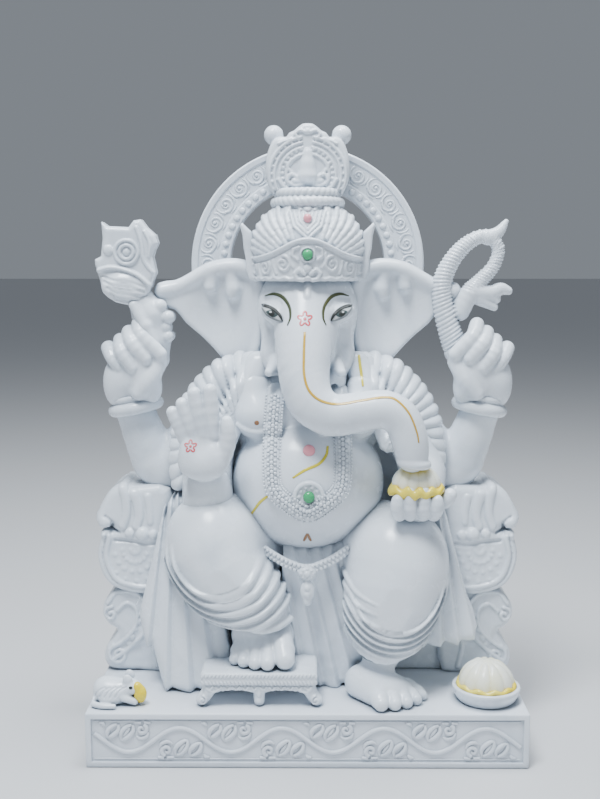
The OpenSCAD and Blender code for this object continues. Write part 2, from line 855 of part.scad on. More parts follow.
plinth();
throne_seat();
throne_back();
armrest_left();
armrest_right();
throne_leg_left();
throne_leg_right();
halo_ring();
halo_beads();
torso();
head();
ear_left();
ear_right();
trunk();
tusk_left();
tusk_right();
crown_band();
crown_dome();
crown_wings();
crown_collar();
crown_crest();
crown_knobs();
shawl_left();
shawl_right();
garland();
medallion();
green_gems();
pink_gems();
belt();
belt_pendant();
rear_arm_left();
rear_arm_right();
rear_hand_left();
rear_hand_right();
bangles();
axe_head();
axe_handle();
noose();
blessing_arm();
blessing_hand();
offering_arm();
offering_hand();
hand_sweets();
leg_left();
leg_right();
foot_left();
foot_right();
side_drape_left();
side_drape_right();
centre_sash();
stool_top();
stool_apron();
stool_legs();
mouse();
mouse_sweet();
offering_bowl();
bowl_sweets();
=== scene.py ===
"""Seated elephant-headed idol, carved from one block of white marble with a few painted details.

Every carved form is a signed distance in millimetres, measured from the middle of the plinth's top.
A workshop cuts the forms into closed meshes, geometry nodes repeat the small ornaments, and the
finishes dress them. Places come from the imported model.
"""

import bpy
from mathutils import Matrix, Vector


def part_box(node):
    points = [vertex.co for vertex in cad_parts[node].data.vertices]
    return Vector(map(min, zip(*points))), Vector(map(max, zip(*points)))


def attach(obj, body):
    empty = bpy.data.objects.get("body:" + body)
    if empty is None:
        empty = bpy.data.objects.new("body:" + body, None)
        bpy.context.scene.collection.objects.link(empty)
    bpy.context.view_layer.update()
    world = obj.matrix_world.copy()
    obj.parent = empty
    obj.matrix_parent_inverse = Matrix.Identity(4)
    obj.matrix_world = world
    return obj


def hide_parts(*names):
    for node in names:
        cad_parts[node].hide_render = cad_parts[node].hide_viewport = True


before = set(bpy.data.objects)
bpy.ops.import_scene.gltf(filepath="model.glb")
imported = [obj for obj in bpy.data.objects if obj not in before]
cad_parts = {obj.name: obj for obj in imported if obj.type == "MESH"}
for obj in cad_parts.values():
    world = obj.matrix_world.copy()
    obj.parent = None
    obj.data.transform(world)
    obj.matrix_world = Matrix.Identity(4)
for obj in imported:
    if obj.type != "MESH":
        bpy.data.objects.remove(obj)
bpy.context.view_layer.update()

import logging
import math
from concurrent.futures import ThreadPoolExecutor
from dataclasses import dataclass
from enum import Enum
from typing import Callable, Iterable, Optional, Sequence

import bmesh
import bpy
import numpy as np
from mathutils import Matrix, Vector

log = logging.getLogger("idol")

MM = 0.001
FAR = 400
Samples = np.ndarray
Distance = Callable[[Samples], np.ndarray]
Bead = tuple[float, float, float, float]
Spot = tuple[float, float]
Place = tuple[float, float, float]


# ---------------------------------------------------------------- forms


def soft_min(a: np.ndarray, b: np.ndarray, soft: float) -> np.ndarray:
    """Smaller of two distances, rounded where they meet.

    Args:
        a: First distances.
        b: Second distances.
        soft: Width of the rounding, in millimetres.

    Returns:
        The joined distances.
    """
    if soft <= 0:
        return np.minimum(a, b)
    near = np.maximum(soft - np.abs(a - b), 0) / soft
    return np.minimum(a, b) - near * near * (soft * 0.25)


class Form:
    """A solid given by its signed distance in millimetres, negative inside."""

    def __init__(self, distance: Distance) -> None:
        """Keep the function that measures the distance."""
        self.distance = distance

    def __call__(self, p: Samples) -> np.ndarray:
        """Distance of each sample from the surface."""
        return self.distance(p)

    def join(self, other: "Form", soft: float = 3.0) -> "Form":
        """This form and another, run together over a soft width."""
        return Form(lambda p: soft_min(self(p), other(p), soft))

    def less(self, other: "Form", soft: float = 1.0) -> "Form":
        """This form with another cut out of it."""
        return Form(lambda p: -soft_min(-self(p), other(p), soft))

    def raised(self, relief: Distance) -> "Form":
        """This form with its surface lifted by a relief in millimetres."""
        return Form(lambda p: self(p) - relief(p))

    def mirrored(self) -> "Form":
        """The same form on the other side of the middle plane."""
        return Form(lambda p: self(np.stack([-p[0], p[1], p[2]])))


def egg(centre: Place, radii: Place, lean: float = 0.0) -> Form:
    """A rounded mass with its own half width, depth and height.

    Args:
        centre: Middle of the mass.
        radii: Half sizes along its own axes.
        lean: Turn in the front view, in degrees, clockwise.

    Returns:
        The form.
    """
    cl, sl = math.cos(math.radians(lean)), math.sin(math.radians(lean))
    rx, ry, rz = (float(r) for r in radii)

    def distance(p: Samples) -> np.ndarray:
        """Distance of each sample from this form."""
        x, y, z = p[0] - centre[0], p[1] - centre[1], p[2] - centre[2]
        if lean:
            x, z = x * cl - z * sl, x * sl + z * cl
        x, y, z = x / rx, y / ry, z / rz
        far = np.sqrt(x * x + y * y + z * z)
        x, y, z = x / rx, y / ry, z / rz
        slope = np.sqrt(x * x + y * y + z * z) + 1e-6
        return far * (far - 1) / slope

    return Form(distance)


def limb(beads: Sequence[Bead], soft: float = 0.0, flat: float = 1.0) -> Form:
    """A rounded limb that runs through a row of points, each with its own radius.

    Args:
        beads: x, y, height and radius of each point.
        soft: Rounding where two stretches meet.
        flat: Thickness front to back against the width.

    Returns:
        The form.
    """
    rows = [tuple(float(v) for v in b) for b in beads]
    depth = 1.0 / flat

    def distance(p: Samples) -> np.ndarray:
        """Distance of each sample from this form."""
        best = None
        for (ax, ay, az, ar), (bx, by, bz, br) in zip(rows, rows[1:]):
            ux, uy, uz = bx - ax, (by - ay) * depth, bz - az
            x, y, z = p[0] - ax, (p[1] - ay) * depth, p[2] - az
            t = np.clip((x * ux + y * uy + z * uz) / (ux * ux + uy * uy + uz * uz + 1e-9), 0, 1)
            x, y, z = x - t * ux, y - t * uy, z - t * uz
            d = np.sqrt(x * x + y * y + z * z) - (ar + t * (br - ar))
            best = d if best is None else soft_min(best, d, soft)
        return best * min(1.0, flat)

    return Form(distance)


def curve(beads: Sequence[Sequence[float]], per: int = 4) -> list[tuple[float, ...]]:
    """Points on a smooth curve through the given ones.

    Args:
        beads: Points of any size, such as x, y, height and radius.
        per: Points that stand for each stretch.

    Returns:
        The finer row of points.
    """
    rows = np.array(beads, float)
    ends = np.vstack([2 * rows[0] - rows[1], rows, 2 * rows[-1] - rows[-2]])
    out = []
    for i in range(1, len(ends) - 2):
        a, b, c, d = ends[i - 1], ends[i], ends[i + 1], ends[i + 2]
        for k in range(per):
            t = k / per
            out.append(0.5 * (2 * b + (c - a) * t + (2 * a - 5 * b + 4 * c - d) * t * t
                              + (3 * b - a - 3 * c + d) * t ** 3))
    out.append(rows[-1])
    return [tuple(float(v) for v in row) for row in out]


def run_lengths(rows: np.ndarray) -> np.ndarray:
    """Distance along a line from its start to each of its points."""
    return np.concatenate([[0], np.cumsum(np.linalg.norm(np.diff(rows, axis=0), axis=1))])


def place_on(rows: np.ndarray, lengths: np.ndarray, distance: float) -> np.ndarray:
    """The place at a distance along a line."""
    return np.array([np.interp(distance, lengths, column) for column in rows.T])


def closed_curve(spots: Sequence[Spot], per: int = 4) -> list[Spot]:
    """A smooth closed outline through the given spots."""
    rows = list(spots)
    looped = curve([rows[-1], *rows, rows[0], rows[1]], per)
    return looped[per:-per - 1]


def outline_distance(x: np.ndarray, z: np.ndarray, outline: Sequence[Spot]) -> np.ndarray:
    """Signed distance from a closed outline in the front view.

    Args:
        x: Sample x.
        z: Sample height.
        outline: Corners of the outline.

    Returns:
        Distances, negative inside.
    """
    best = np.full(x.shape, 1e12, x.dtype)
    side = np.ones(x.shape, x.dtype)
    count = len(outline)
    for i in range(count):
        (ax, az), (bx, bz) = outline[i], outline[i - 1]
        ex, ez = bx - ax, bz - az
        wx, wz = x - ax, z - az
        t = np.clip((wx * ex + wz * ez) / (ex * ex + ez * ez + 1e-9), 0, 1)
        dx, dz = wx - ex * t, wz - ez * t
        best = np.minimum(best, dx * dx + dz * dz)
        above, below, left = z >= az, z < bz, ex * wz > ez * wx
        side = np.where((above & below & left) | (~above & ~below & ~left), -side, side)
    return side * np.sqrt(best)


def plate(outline: Sequence[Spot], front: float, back: float, edge: float = 3.0) -> Form:
    """A slab with an outline in the front view and rounded edges.

    Args:
        outline: Corners in x and height.
        front: y of the front face.
        back: y of the back face.
        edge: Radius of the rounded edges.

    Returns:
        The form.
    """
    middle, half = (front + back) / 2, (back - front) / 2

    def distance(p: Samples) -> np.ndarray:
        """Distance of each sample from this form."""
        a = outline_distance(p[0], p[2], outline) + edge
        b = np.abs(p[1] - middle) - half + edge
        outside = np.sqrt(np.maximum(a, 0) ** 2 + np.maximum(b, 0) ** 2)
        return np.minimum(np.maximum(a, b), 0) + outside - edge

    return Form(distance)


def block(low: Place, high: Place, edge: float = 3.0) -> Form:
    """A box with rounded edges."""

    def distance(p: Samples) -> np.ndarray:
        """Distance of each sample from this form."""
        q = [np.abs(p[i] - (low[i] + high[i]) / 2) - ((high[i] - low[i]) / 2 - edge) for i in range(3)]
        outside = np.sqrt(sum(np.maximum(a, 0) ** 2 for a in q))
        return np.minimum(np.maximum(np.maximum(q[0], q[1]), q[2]), 0) + outside - edge

    return Form(distance)


def under(height: float, floor: float = -60) -> Form:
    """Everything below a height, for cutting a form off flat."""
    return block((-FAR, -FAR, floor), (FAR, FAR, height), 0.1)


def hoop(centre: Place, radius: float, wire: float, axis: Place = (0, 0, 1)) -> Form:
    """A round ring of round wire about an axis."""
    n = np.array(axis, float) / np.linalg.norm(axis)
    nx, ny, nz = (float(v) for v in n)

    def distance(p: Samples) -> np.ndarray:
        """Distance of each sample from this form."""
        x, y, z = p[0] - centre[0], p[1] - centre[1], p[2] - centre[2]
        along = x * nx + y * ny + z * nz
        across = np.sqrt(np.maximum(x * x + y * y + z * z - along * along, 0))
        return np.sqrt((across - radius) ** 2 + along * along) - wire

    return Form(distance)


def drum(centre: Spot, radius: float, low: float, high: float, edge: float = 2.0) -> Form:
    """An upright cylinder with rounded rims."""

    def distance(p: Samples) -> np.ndarray:
        """Distance of each sample from this form."""
        a = np.sqrt((p[0] - centre[0]) ** 2 + (p[1] - centre[1]) ** 2) - radius + edge
        b = np.abs(p[2] - (low + high) / 2) - (high - low) / 2 + edge
        outside = np.sqrt(np.maximum(a, 0) ** 2 + np.maximum(b, 0) ** 2)
        return np.minimum(np.maximum(a, b), 0) + outside - edge

    return Form(distance)


def all_of(forms: Iterable[Form], soft: float = 2.0) -> Form:
    """Several forms run together."""
    parts = list(forms)
    whole = parts[0]
    for part in parts[1:]:
        whole = whole.join(part, soft)
    return whole


def spiral(centre: Spot, radius: float, turns: float, start: float, hand: int = 1) -> list[Spot]:
    """A scroll that winds in to its centre.

    Args:
        centre: Middle of the scroll.
        radius: Radius at its outer end.
        turns: Turns that it makes.
        start: Angle of the outer end, in degrees.
        hand: 1 to wind anticlockwise, -1 to wind clockwise.

    Returns:
        Spots along the scroll.
    """
    count = max(8, int(turns * 14))
    out = []
    for i in range(count + 1):
        t = i / count
        a = math.radians(start) + hand * t * turns * 2 * math.pi
        r = radius * (1 - 0.85 * t)
        out.append((centre[0] + r * math.cos(a), centre[1] + r * math.sin(a)))
    return out


# ---------------------------------------------------------------- finishes


@dataclass(frozen=True)
class Finish:
    """What a piece is made of and how its surface is dressed."""

    name: str
    slot: str
    colour: tuple[float, float, float] = (0.81, 0.86, 0.92)
    vein: tuple[float, float, float] = (0.70, 0.755, 0.82)
    # Colour painted into creases and recesses as shade.
    hollow: tuple[float, float, float] = (0.42, 0.465, 0.52)
    rough: tuple[float, float] = (0.17, 0.32)
    grain: float = 0.1
    glow: float = 0.12
    # How far the painted shade in creases and recesses reaches, in millimetres.
    shade_reach: float = 9.0

    def material(self) -> bpy.types.Material:
        """The material, made once and shared by every piece that has this finish.

        Returns:
            The material.
        """
        found = bpy.data.materials.get(self.name)
        if found:
            return found
        made = bpy.data.materials.new(self.name)
        made.use_nodes = True
        tree = made.node_tree
        link = tree.links.new
        shader = tree.nodes["Principled BSDF"]
        spot = tree.nodes.new("ShaderNodeTexCoord")

        def noise(scale: float, detail: float, warp: float = 0.0) -> bpy.types.NodeSocket:
            """A noise over the object's own coordinates."""
            node = tree.nodes.new("ShaderNodeTexNoise")
            node.inputs["Scale"].default_value = scale
            node.inputs["Detail"].default_value = detail
            node.inputs["Distortion"].default_value = warp
            link(spot.outputs["Object"], node.inputs["Vector"])
            return node.outputs["Fac"]

        def spread(value: bpy.types.NodeSocket, low: float, high: float, start: float = 0.0,
                   end: float = 1.0) -> bpy.types.NodeSocket:
            """A value moved to another range."""
            node = tree.nodes.new("ShaderNodeMapRange")
            for name, number in (("From Min", low), ("From Max", high), ("To Min", start), ("To Max", end)):
                node.inputs[name].default_value = number
            link(value, node.inputs["Value"])
            return node.outputs["Result"]

        def mixed(factor: bpy.types.NodeSocket, first: object, second: object) -> bpy.types.NodeSocket:
            """Two colours mixed by a factor."""
            node = tree.nodes.new("ShaderNodeMix")
            node.data_type = "RGBA"
            link(factor, node.inputs["Factor"])
            for socket, value in ((node.inputs[6], first), (node.inputs[7], second)):
                if isinstance(value, tuple):
                    socket.default_value = (*value, 1)
                else:
                    link(value, socket)
            return node.outputs[2]

        veins = noise(scale=9, detail=6, warp=1.6)
        veined = mixed(spread(veins, low=0.52, high=0.66), self.colour, self.vein)
        # Painted shade: ambient occlusion turns the colour towards the darker hollow colour in creases and
        # recesses.
        shade = tree.nodes.new("ShaderNodeAmbientOcclusion")
        shade.inputs["Distance"].default_value = self.shade_reach * MM
        shade.samples = 6
        body = mixed(spread(shade.outputs["AO"], low=0.25, high=0.9), self.hollow, veined)
        link(body, shader.inputs["Base Color"])
        polish = spread(noise(scale=60, detail=4), 0.3, 0.7, *self.rough)
        link(polish, shader.inputs["Roughness"])
        bump = tree.nodes.new("ShaderNodeBump")
        bump.inputs["Strength"].default_value = self.grain
        bump.inputs["Distance"].default_value = 0.6 * MM
        link(noise(scale=240, detail=3), bump.inputs["Height"])
        link(bump.outputs["Normal"], shader.inputs["Normal"])
        shader.inputs["Subsurface Weight"].default_value = self.glow
        shader.inputs["Subsurface Radius"].default_value = (0.9, 0.95, 1.0)
        shader.inputs["Subsurface Scale"].default_value = 3 * MM
        shader.inputs["IOR"].default_value = 1.5
        return made


class Finishes(Enum):
    """Every finish on the idol."""

    # The third colour of each finish is the shade painted into its creases and recesses.
    MARBLE = Finish("white marble", "white_marble")
    BASE = Finish("plinth marble", "plinth_marble", (0.78, 0.82, 0.88), rough=(0.3, 0.48))
    YELLOW = Finish("yellow paint", "yellow_painted_marble", (0.86, 0.66, 0.02), (0.86, 0.74, 0.14),
                    (0.6, 0.4, 0.01))
    CREAM = Finish("cream paint", "yellow_painted_marble", (0.86, 0.87, 0.80), (0.87, 0.84, 0.58),
                   (0.78, 0.62, 0.12))
    OCHRE = Finish("ochre line", "white_marble", (0.62, 0.38, 0.04), (0.66, 0.44, 0.09), (0.4, 0.22, 0.02))
    THREAD = Finish("thread paint", "white_marble", (0.72, 0.60, 0.04), (0.75, 0.66, 0.14), (0.5, 0.38, 0.03))
    RED = Finish("red paint", "white_marble", (0.75, 0.10, 0.12), (0.8, 0.25, 0.25), (0.5, 0.06, 0.08))
    BROWN = Finish("brown paint", "white_marble", (0.30, 0.14, 0.06), (0.36, 0.2, 0.1), (0.16, 0.07, 0.03))
    EYE_WHITE = Finish("eye white", "white_marble", (0.62, 0.65, 0.66), (0.5, 0.54, 0.56),
                       (0.3, 0.32, 0.35), (0.4, 0.5))
    LID = Finish("lid shade", "white_marble", (0.20, 0.22, 0.23), (0.3, 0.32, 0.33), (0.12, 0.12, 0.12),
                 (0.5, 0.6))
    IRIS = Finish("iris paint", "white_marble", (0.05, 0.075, 0.075), (0.09, 0.12, 0.12),
                  (0.03, 0.04, 0.04), (0.4, 0.5))
    BROW = Finish("brow paint", "white_marble", (0.045, 0.055, 0.02), (0.12, 0.11, 0.03),
                  (0.02, 0.03, 0.01), (0.5, 0.6))
    BLACK = Finish("black paint", "white_marble", (0.02, 0.022, 0.02), (0.04, 0.04, 0.04),
                   (0.01, 0.01, 0.01), (0.5, 0.6))
    GREEN = Finish("green stone", "green_stone", (0.05, 0.42, 0.16), (0.12, 0.55, 0.26), (0.02, 0.2, 0.08),
                   (0.12, 0.22))
    PINK = Finish("pink stone", "pink_stone", (0.92, 0.36, 0.42), (0.95, 0.55, 0.58), (0.7, 0.2, 0.25),
                  (0.12, 0.22))

    @property
    def slot(self) -> str:
        """Slot that pieces with this finish fill."""
        return self.value.slot

    def material(self) -> bpy.types.Material:
        """Material of this finish."""
        return self.value.material()


# ---------------------------------------------------------------- cutting forms into meshes


class Site:
    """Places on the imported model, in millimetres above the plinth's top."""

    def __init__(self) -> None:
        """Measure the height of the plinth's top."""
        self.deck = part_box("plinth")[1][2] / MM

    def box(self, *nodes: str) -> tuple[np.ndarray, np.ndarray]:
        """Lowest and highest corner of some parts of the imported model.

        Args:
            nodes: Names of the parts.

        Returns:
            The two corners.
        """
        corners = [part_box(node) for node in nodes]
        low = np.min([c[0] for c in corners], 0) / MM
        high = np.max([c[1] for c in corners], 0) / MM
        shift = np.array([0, 0, self.deck])
        return low - shift, high - shift

    def metres(self, points: np.ndarray) -> np.ndarray:
        """Points in the shared frame, in metres."""
        return (np.asarray(points, float) + np.array([0, 0, self.deck])) * MM


SITE = Site()


class Carver:
    """Cuts a form into a closed mesh of small quads."""

    BLOCK = 8
    BATCH = 48
    PIECE = 40000
    OUTSIDE = 9.0
    PROBE = 0.15
    LONGEST_PUSH = 0.6

    def __init__(self, form: Form, low: np.ndarray, high: np.ndarray, step: float) -> None:
        """Take the form, the box to look in and the size of a quad."""
        self.form, self.step = form, step
        self.low = np.asarray(low, float)
        self.blocks = np.maximum(1, np.ceil((np.asarray(high) - self.low) / (step * self.BLOCK))).astype(int)

    def measure(self, points: np.ndarray) -> np.ndarray:
        """Distances of points given as rows, in pieces that fit the cache."""
        flat = np.ascontiguousarray(points.T, np.float32)
        out = np.empty(flat.shape[1], np.float32)
        for i in range(0, flat.shape[1], self.PIECE):
            out[i:i + self.PIECE] = self.form(flat[:, i:i + self.PIECE])
        return out

    def sample(self) -> np.ndarray:
        """Distances on a grid, worked out only near the surface."""
        size, n = self.BLOCK * self.step, self.BLOCK
        index = np.stack(np.meshgrid(*[np.arange(b) for b in self.blocks], indexing="ij"), -1)
        middles = self.low + (index.reshape(-1, 3) + 0.5) * size
        rough = self.measure(middles)
        near = np.abs(rough) < size * 1.3 + 3
        sign = np.where(rough < 0, -self.OUTSIDE, self.OUTSIDE).astype(np.float32).reshape(index.shape[:3])
        grid = np.full(self.blocks * n + 1, self.OUTSIDE, np.float32)
        grid[:-1, :-1, :-1] = sign.repeat(n, 0).repeat(n, 1).repeat(n, 2)
        local = np.stack(np.meshgrid(*[np.arange(n + 1)] * 3, indexing="ij"), -1).reshape(-1, 3)
        wanted = index.reshape(-1, 3)[near]
        for start in range(0, len(wanted), self.BATCH):
            some = wanted[start:start + self.BATCH]
            points = self.low + (some[:, None, :] * n + local[None]) * self.step
            values = self.measure(points.reshape(-1, 3)).reshape(len(some), n + 1, n + 1, n + 1)
            for (bx, by, bz), cell in zip(some * n, values):
                grid[bx:bx + n + 1, by:by + n + 1, bz:bz + n + 1] = cell
        for axis in range(3):
            edge = np.moveaxis(grid, axis, 0)
            edge[0], edge[-1] = self.OUTSIDE, self.OUTSIDE
        return grid

    def net(self, grid: np.ndarray) -> tuple[np.ndarray, np.ndarray]:
        """One vertex in each cell that the surface crosses, and a quad across each crossed edge."""
        inside = grid < 0
        shape = [s - 1 for s in grid.shape]
        corner = [(i, j, k) for i in (0, 1) for j in (0, 1) for k in (0, 1)]

        def at(a: np.ndarray, c: Place) -> np.ndarray:
            """The array seen from one corner of every cell."""
            return a[c[0]:c[0] + shape[0], c[1]:c[1] + shape[1], c[2]:c[2] + shape[2]]

        count = sum(at(inside, c).astype(np.int8) for c in corner)
        crossed = (count > 0) & (count < 8)
        cells = np.argwhere(crossed)
        number = np.full(shape, -1, np.int32)
        number[crossed] = np.arange(len(cells))
        total = np.zeros((len(cells), 3))
        hits = np.zeros(len(cells))
        for a in corner:
            for axis in range(3):
                if a[axis]:
                    continue
                b = tuple(1 if i == axis else a[i] for i in range(3))
                va, vb = at(grid, a)[crossed], at(grid, b)[crossed]
                hit = (va < 0) != (vb < 0)
                t = np.where(hit, va / np.where(hit, va - vb, 1), 0)
                place = np.tile(np.array(a, float), (len(cells), 1))
                place[:, axis] += t
                total += place * hit[:, None]
                hits += hit
        verts = self.low + (cells + total / hits[:, None]) * self.step
        quads = []
        for axis in range(3):
            u, v = [i for i in range(3) if i != axis]
            first = np.moveaxis(inside, axis, 0)
            change = np.moveaxis(first[:-1] != first[1:], 0, axis)
            where = np.argwhere(change)
            where = where[(where[:, u] > 0) & (where[:, v] > 0)]
            where = where[(where[:, u] < shape[u]) & (where[:, v] < shape[v])]
            du, dv = np.eye(3, dtype=int)[u], np.eye(3, dtype=int)[v]
            ring = [where, where - du, where - du - dv, where - dv]
            quad = np.stack([number[tuple(r.T)] for r in ring], 1)
            flip = inside[tuple(where.T)] == (axis != 1)
            quad[flip] = quad[flip][:, ::-1]
            quads.append(quad)
        return verts, np.vstack(quads)

    def settle(self, verts: np.ndarray) -> np.ndarray:
        """Move the vertices onto the true surface."""
        for _ in range(2):
            d = self.measure(verts)
            probes = [self.measure(verts + np.eye(3)[i] * self.PROBE) for i in range(3)]
            slope = np.stack([near - d for near in probes], 1) / self.PROBE
            push = slope * (d / np.maximum((slope ** 2).sum(1), 0.2))[:, None]
            size = np.linalg.norm(push, axis=1)
            limit = self.step * self.LONGEST_PUSH / np.maximum(size, 1e-9)
            verts = verts - push * np.minimum(1, limit)[:, None]
        return verts

    def cut(self) -> tuple[np.ndarray, np.ndarray]:
        """Vertices in millimetres and quads, facing out."""
        verts, quads = self.net(self.sample())
        verts = self.settle(verts)
        a, b, c = (verts[quads[:, i]] for i in range(3))
        volume = np.einsum("ij,ij->i", np.cross(a, b), c).sum()
        return verts, quads if volume > 0 else quads[:, ::-1]


def linked(name: str, data: Optional[bpy.types.ID]) -> bpy.types.Object:
    """A new object in the scene that holds some data."""
    thing = bpy.data.objects.new(name, data)
    bpy.context.scene.collection.objects.link(thing)
    return thing


def finished(name: str, shape: bmesh.types.BMesh) -> bpy.types.Object:
    """A smooth-shaded object from a working mesh, which is used up."""
    mesh = bpy.data.meshes.new(name)
    shape.to_mesh(mesh)
    shape.free()
    mesh.shade_smooth()
    return linked(name, mesh)


def closed_shell(name: str, verts: np.ndarray, faces: Iterable[Sequence[int]]) -> bpy.types.Object:
    """A closed skin with every face turned out.

    Args:
        name: Name of the object.
        verts: Vertices, in millimetres above the plinth's top.
        faces: Corners of each face.

    Returns:
        The object.
    """
    shape = bmesh.new()
    corners = [shape.verts.new(v) for v in SITE.metres(verts)]
    for face in faces:
        shape.faces.new([corners[i] for i in face])
    bmesh.ops.recalc_face_normals(shape, faces=shape.faces)
    return finished(name, shape)


def mesh_object(name: str, verts: np.ndarray, quads: np.ndarray) -> bpy.types.Object:
    """A smooth-shaded object from large arrays.

    Args:
        name: Name of the object.
        verts: Vertices, in millimetres above the plinth's top.
        quads: Corners of each quad.

    Returns:
        The object.
    """
    mesh = bpy.data.meshes.new(name)
    points = SITE.metres(verts)
    mesh.vertices.add(len(points))
    mesh.vertices.foreach_set("co", points.astype(np.float32).ravel())
    mesh.loops.add(quads.size)
    mesh.loops.foreach_set("vertex_index", quads.astype(np.int32).ravel())
    mesh.polygons.add(len(quads))
    mesh.polygons.foreach_set("loop_start", np.arange(0, quads.size, 4, dtype=np.int32))
    mesh.update(calc_edges=True)
    mesh.validate()
    mesh.shade_smooth()
    return linked(name, mesh)


@dataclass
class Order:
    """One form waiting to be cut."""

    name: str
    form: Form
    low: np.ndarray
    high: np.ndarray
    step: float
    finish: Finishes
    replaced: tuple[str, ...]


class Workshop:
    """Cuts the ordered forms side by side and sets each finished piece in the frame."""

    HANDS = 4

    def __init__(self) -> None:
        """Start with an empty bench."""
        self.orders: list[Order] = []
        self.triangles = 0

    def order(self, name: str, form: Form, nodes: Sequence[str], step: float, margin: float = 7.0,
              finish: Finishes = Finishes.MARBLE, replaced: Optional[Sequence[str]] = None) -> None:
        """Ask for a form to be cut.

        Args:
            name: Name of the piece.
            form: The form.
            nodes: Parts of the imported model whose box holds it.
            step: Size of its quads.
            margin: Room around that box.
            finish: What it is made of.
            replaced: Parts that it stands for, if not those nodes.
        """
        low, high = SITE.box(*nodes)
        names = tuple(nodes if replaced is None else replaced)
        self.orders.append(Order(name, form, low - margin, high + margin, step, finish, names))

    def deliver(self) -> None:
        """Cut everything that was ordered, then place it in the order that it was asked for."""
        with ThreadPoolExecutor(max_workers=self.HANDS) as hands:
            jobs = [hands.submit(Carver(o.form, o.low, o.high, o.step).cut) for o in self.orders]
            for order, job in zip(self.orders, jobs):
                verts, quads = job.result()
                thing = mesh_object(order.name, verts, quads)
                self.place(thing, order.finish, order.replaced)

    def place(self, thing: bpy.types.Object, finish: Finishes = Finishes.MARBLE,
              replaced: Sequence[str] = ()) -> None:
        """Dress a piece and let it ride on the block.

        Args:
            thing: The piece.
            finish: What it is made of.
            replaced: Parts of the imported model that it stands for.
        """
        thing.name = thing.name.replace(" ", "_")
        thing.data.materials.clear()
        thing.data.materials.append(finish.material())
        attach(thing, "root")
        if replaced:
            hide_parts(*replaced)
        finish.slot
        count = sum(len(p.vertices) - 2 for p in thing.data.polygons)
        self.triangles += count
        log.info("%s: %d triangles, for %s", thing.name, count, ", ".join(replaced) or "detail")


# ---------------------------------------------------------------- reliefs and repeated ornaments


class Relief:
    """Raised and sunk lines drawn on a flat chart and laid on a form."""

    def __init__(self, low: Spot, high: Spot, cell: float = 0.5,
                 chart: Optional[Callable[[Samples], tuple[np.ndarray, np.ndarray]]] = None) -> None:
        """Start with an empty chart.

        Args:
            low: Lowest chart place, in millimetres.
            high: Highest chart place.
            cell: Size of a chart cell.
            chart: Takes samples to chart places; the front view if not given.
        """
        self.low, self.cell = low, cell
        self.chart = chart or (lambda p: (p[0], p[2]))
        self.shape = tuple(int(math.ceil((high[i] - low[i]) / cell)) + 2 for i in range(2))
        self.lift = np.zeros(self.shape, np.float32)

    def _window(self, box: Sequence[float]) -> tuple[slice, slice, np.ndarray, np.ndarray]:
        """The cells of a chart box and where they are."""
        a = [max(0, int((box[i] - self.low[i]) / self.cell)) for i in range(2)]
        b = [min(self.shape[i], int((box[i + 2] - self.low[i]) / self.cell) + 2) for i in range(2)]
        u = self.low[0] + np.arange(a[0], max(a[0], b[0])) * self.cell
        v = self.low[1] + np.arange(a[1], max(a[1], b[1])) * self.cell
        return slice(a[0], max(a[0], b[0])), slice(a[1], max(a[1], b[1])), u[:, None], v[None, :]

    def line(self, stroke: Sequence[Spot], width: float, height: float, taper: float = 1.0) -> "Relief":
        """Draw a rounded ridge, or a groove if the height is below nothing.

        Args:
            stroke: Spots that the line runs through.
            width: Half width where it starts.
            height: How far it stands up.
            taper: Width and height at its end against its start.

        Returns:
            This relief.
        """
        steps = max(1, len(stroke) - 1)
        for i, ((au, av), (bu, bv)) in enumerate(zip(stroke, stroke[1:])):
            k = 1 + (taper - 1) * i / steps
            w = width * k
            su, sv, u, v = self._window((min(au, bu) - w, min(av, bv) - w, max(au, bu) + w, max(av, bv) + w))
            eu, ev = bu - au, bv - av
            t = np.clip(((u - au) * eu + (v - av) * ev) / (eu * eu + ev * ev + 1e-9), 0, 1)
            far = (u - au - t * eu) ** 2 + (v - av - t * ev) ** 2
            rise = height * k * np.sqrt(np.maximum(1 - far / (w * w), 0))
            old = self.lift[su, sv]
            self.lift[su, sv] = np.maximum(old, rise) if height > 0 else np.minimum(old, rise)
        return self

    def dot(self, at: Spot, radius: float, height: float) -> "Relief":
        """Draw a round boss."""
        return self.line([at, (at[0] + 0.01, at[1])], radius, height)

    def lines(self, strokes: Iterable[Sequence[Spot]], width: float, height: float,
              taper: float = 1.0) -> "Relief":
        """Draw several lines alike."""
        for stroke in strokes:
            self.line(stroke, width, height, taper)
        return self

    def __call__(self, p: Samples) -> np.ndarray:
        """How far the surface is lifted at each sample."""
        u, v = self.chart(p)
        u = np.clip((u - self.low[0]) / self.cell, 0, self.shape[0] - 1.01)
        v = np.clip((v - self.low[1]) / self.cell, 0, self.shape[1] - 1.01)
        i, j = u.astype(np.int32), v.astype(np.int32)
        fu, fv = u - i, v - j
        g = self.lift
        return ((g[i, j] * (1 - fu) + g[i + 1, j] * fu) * (1 - fv)
                + (g[i, j + 1] * (1 - fu) + g[i + 1, j + 1] * fu) * fv)


def fan_pleats(pole: Spot, count: float, height: float, near: float = 0.0, crisp: bool = False) -> Distance:
    """A relief of pleats that spread from a pole in the front view.

    Args:
        pole: Where the pleats would meet.
        count: Pleats in half a turn.
        height: How far a pleat stands up.
        near: Pleats start to rise this far from the pole.
        crisp: True for flat pleats with a sharp fold, False for rounded ones.

    Returns:
        The relief.
    """

    def relief(p: Samples) -> np.ndarray:
        """Lift of the surface at each sample."""
        u, v = p[0] - pole[0], p[2] - pole[1]
        turn = np.arctan2(u, -v) / math.pi * count
        grow = np.clip((np.sqrt(u * u + v * v) - near) / 30, 0, 1)
        if crisp:
            along = turn - np.floor(turn)
            wave = np.minimum(along / 0.76, (1 - along) / 0.24) - 0.5
        else:
            wave = np.sqrt(np.abs(np.sin(turn * math.pi)) + 0.02) - 0.6
        return (height * grow * wave).astype(p.dtype)

    return relief


